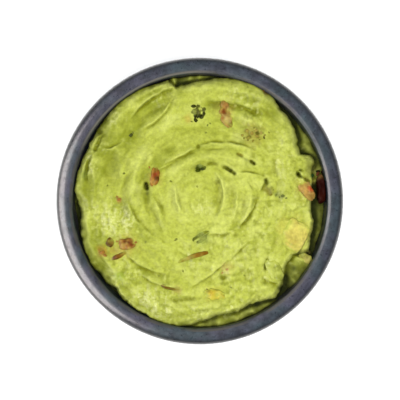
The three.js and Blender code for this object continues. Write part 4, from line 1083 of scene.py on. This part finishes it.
def glaze_finish():
    """Dark blue-grey glaze: mottled, with fine pits, worn through to pale clay at the inner edge, and with
    painted shade on the wall below the rim.
    """
    finish = Finish("blue_grey_glaze")
    calculate, ramp, blend = finish.calculate, finish.ramp, finish.blend
    place = finish.add("TexCoord", {})["Object"]

    def noise(scale, detail, roughness):
        return finish.noise(place, scale, detail, roughness)

    apart = finish.add("SeparateXYZ", {"Vector": place})
    x, y, z = apart["X"], apart["Y"], apart["Z"]
    radius = calculate("SQRT", calculate("ADD", calculate("MULTIPLY", x, x), calculate("MULTIPLY", y, y)))
    across, ahead = calculate("DIVIDE", x, radius), calculate("DIVIDE", y, radius)
    mottle = noise(330, 5, 0.7)
    violet = ramp(mottle, (0.3, srgb(28, 29, 37)), (0.7, srgb(66, 65, 79)))
    teal = ramp(mottle, (0.3, srgb(25, 31, 37)), (0.7, srgb(57, 69, 75)))
    cloud = blend(ramp(noise(75, 2, 0.5), (0.4, BLACK), (0.6, WHITE)), violet, teal)
    speck = ramp(noise(1500, 2, 0.5), (0.3, grey(0.45)), (0.42, WHITE))
    colour = blend(1, cloud, speck, "MULTIPLY")
    # pale clay where the inner edge has worn, broken up by the glaze that is left
    edge_width = 1.3 * MM
    past = calculate("DIVIDE", calculate("SUBTRACT", radius, MOUTH_RADIUS * MM), edge_width)
    above_lip = calculate("GREATER_THAN", z, LIP * MM)
    on_edge = ramp(past, (0.0, BLACK), (0.35, WHITE), (0.7, WHITE), (1.0, BLACK))
    on_edge = calculate("MULTIPLY", on_edge, above_lip)
    left = ramp(noise(60, 3, 0.6), (0.46, BLACK), (0.56, WHITE))
    colour = blend(calculate("MULTIPLY", on_edge, left), colour, srgb(60, 58, 54))
    # towards the far left a thin line along the inner edge is paler
    bearing = math.radians(120)
    far_left = calculate("ADD", calculate("MULTIPLY", across, math.cos(bearing)),
                         calculate("MULTIPLY", ahead, math.sin(bearing)))
    line = ramp(past, (0.0, BLACK), (0.2, WHITE), (0.5, WHITE), (0.75, BLACK))
    pale_line = calculate("MULTIPLY", line, ramp(far_left, (0.78, BLACK), (0.9, WHITE)))
    colour = blend(calculate("MULTIPLY", pale_line, above_lip), colour, srgb(86, 84, 78))
    # painted shade: the wall below the rim is darker
    wall = ramp(calculate("DIVIDE", radius, RIM_RADIUS * MM), (0.958, BLACK), (0.986, WHITE))
    colour = blend(wall, colour, srgb(11, 12, 15))
    # the glaze is still whole on the bevel's right side and worn matt round the rest
    whole = ramp(across, (0.86, BLACK), (0.98, grey(0.5)))
    matt = calculate("MULTIPLY", on_edge, calculate("SUBTRACT", 1, whole))
    gleam = ramp(noise(700, 4, 0.6), (0.3, grey(0.24)), (0.7, grey(0.42)))
    pitted = ramp(noise(620, 3, 0.65), (0.36, grey(0.1)), (0.46, WHITE))
    # the single values are for where the pits can't be followed
    finish.shade(Coat_Weight=0.5, Specular_IOR_Level=0.6, Coat_Roughness=0.22, Coat_IOR=1.5)
    return finish.shade(
        Base_Color=colour,
        Roughness=calculate("ADD", gleam, calculate("MULTIPLY", matt, 0.45)),
        Coat_Weight=calculate("MULTIPLY", calculate("MULTIPLY_ADD", matt, -0.5, 0.55), pitted),
        Normal=finish.bump(noise(900, 4, 0.6), 0.25, 0.15 * MM))


def mash_finish():
    """The mashed dip: its painted colour, finely crumbled, matt where smoothed and wet where coarse."""
    finish = Finish("mashed_avocado")
    place = finish.add("TexCoord", {})["Object"]
    wet = finish.add("Attribute", {}, attribute_name="wet")["Fac"]
    crumbled = finish.mapped(finish.noise(place, 800, 4, 0.65), 0.38, 0.74, 0.9, 1.22)
    # the single gloss is for where the wetness can't be followed
    finish.shade(Specular_IOR_Level=0.15, Subsurface_Weight=0.15, Subsurface_Radius=(1.0, 1.0, 0.35),
                 Subsurface_Scale=1.2 * MM)
    return finish.shade(
        Base_Color=finish.painted(crumbled),
        Roughness=finish.mapped(wet, 0, 1, 0.5, 0.1),
        Specular_IOR_Level=finish.mapped(wet, 0, 1, 0.08, 0.34),
        Normal=finish.bump(finish.noise(place, 620, 3, 0.65), finish.mapped(wet, 0, 1, 0.2, 0.8), 0.8 * MM))


def wet_finish(name, roughness, gloss, glow, glow_colour, grain_scale, grain_depth):
    """Something moist: the colour painted on it, finely mottled, with light soaking in and a wet gleam."""
    finish = Finish(name)
    place = finish.add("TexCoord", {})["Object"]
    grain = finish.noise(place, grain_scale, 4, 0.6)
    return finish.shade(
        Base_Color=finish.painted(finish.mapped(grain, 0.3, 0.7, 0.88, 1.1)), Roughness=roughness,
        Specular_IOR_Level=gloss, Subsurface_Weight=glow, Subsurface_Radius=glow_colour,
        Subsurface_Scale=1.5 * MM, Normal=finish.bump(grain, 0.4, grain_depth * MM))


# ---------------------------------------------------------------- floor, light and camera

def softbox(name, azimuth, elevation, distance, size, power, colour):
    """A soft light in a rectangular box, aimed at the bowl's rim from a direction in degrees."""
    turn, lift = math.radians(azimuth), math.radians(elevation)
    bpy.ops.object.light_add(type="AREA")
    lamp = bpy.context.object
    lamp.name = name
    lamp.data.shape = "RECTANGLE"
    lamp.data.size, lamp.data.size_y = size
    lamp.data.energy = power
    lamp.data.color = colour
    lamp.location = (distance * math.cos(lift) * math.cos(turn), distance * math.cos(lift) * math.sin(turn),
                     distance * math.sin(lift) + RIM_TOP * MM)
    lamp.rotation_euler = (math.radians(90 - elevation), 0, math.radians(azimuth + 90))
    return lamp


def make_studio():
    deselect()
    bpy.ops.mesh.primitive_plane_add(size=4, location=(0, 0, 0))
    floor = bpy.context.object
    floor.name = "floor"
    floor.data.materials.append(Finish("pale_floor").shade(Base_Color=grey(0.93), Roughness=0.9))

    window = softbox("window", azimuth=195, elevation=34, distance=1.2, size=(1.6, 1.15), power=43,
                     colour=(1.0, 0.91, 0.88))
    window.visible_diffuse = False   # the window only gleams on the glaze and the wet dip
    overhead = softbox("overhead", azimuth=290, elevation=86, distance=1.3, size=(0.9, 0.9), power=31.2,
                       colour=(1.0, 1.0, 0.99))
    overhead.visible_glossy = False  # the light from above only fills
    world = bpy.data.worlds.new("studio")
    world.use_nodes = True
    world.node_tree.nodes["Background"].inputs["Color"].default_value = (0.9, 0.95, 1.0, 1)
    world.node_tree.nodes["Background"].inputs["Strength"].default_value = 0.3
    scene = bpy.context.scene
    scene.world = world
    scene.view_settings.view_transform = "Standard"

    # the camera looks straight down on the bowl, from over a point close to its middle
    distance = 0.6         # above the rim's widest line
    half_view = 83.7 * MM  # half the width that it sees, at the height of that line
    sensor = 36            # width of its sensor, in millimetres
    bpy.ops.object.camera_add(location=(0.08 * MM, 0.46 * MM, distance + BELLY * MM))
    camera = bpy.context.object
    camera.name = "camera"
    camera.rotation_euler = (0, 0, 0)
    camera.data.sensor_width = sensor
    camera.data.lens = sensor / 2 * distance / half_view
    camera.data.clip_start = 0.01
    scene.camera = camera


make_studio()
make_bowl(glaze_finish())
make_dip(mash_finish())
make_pieces()
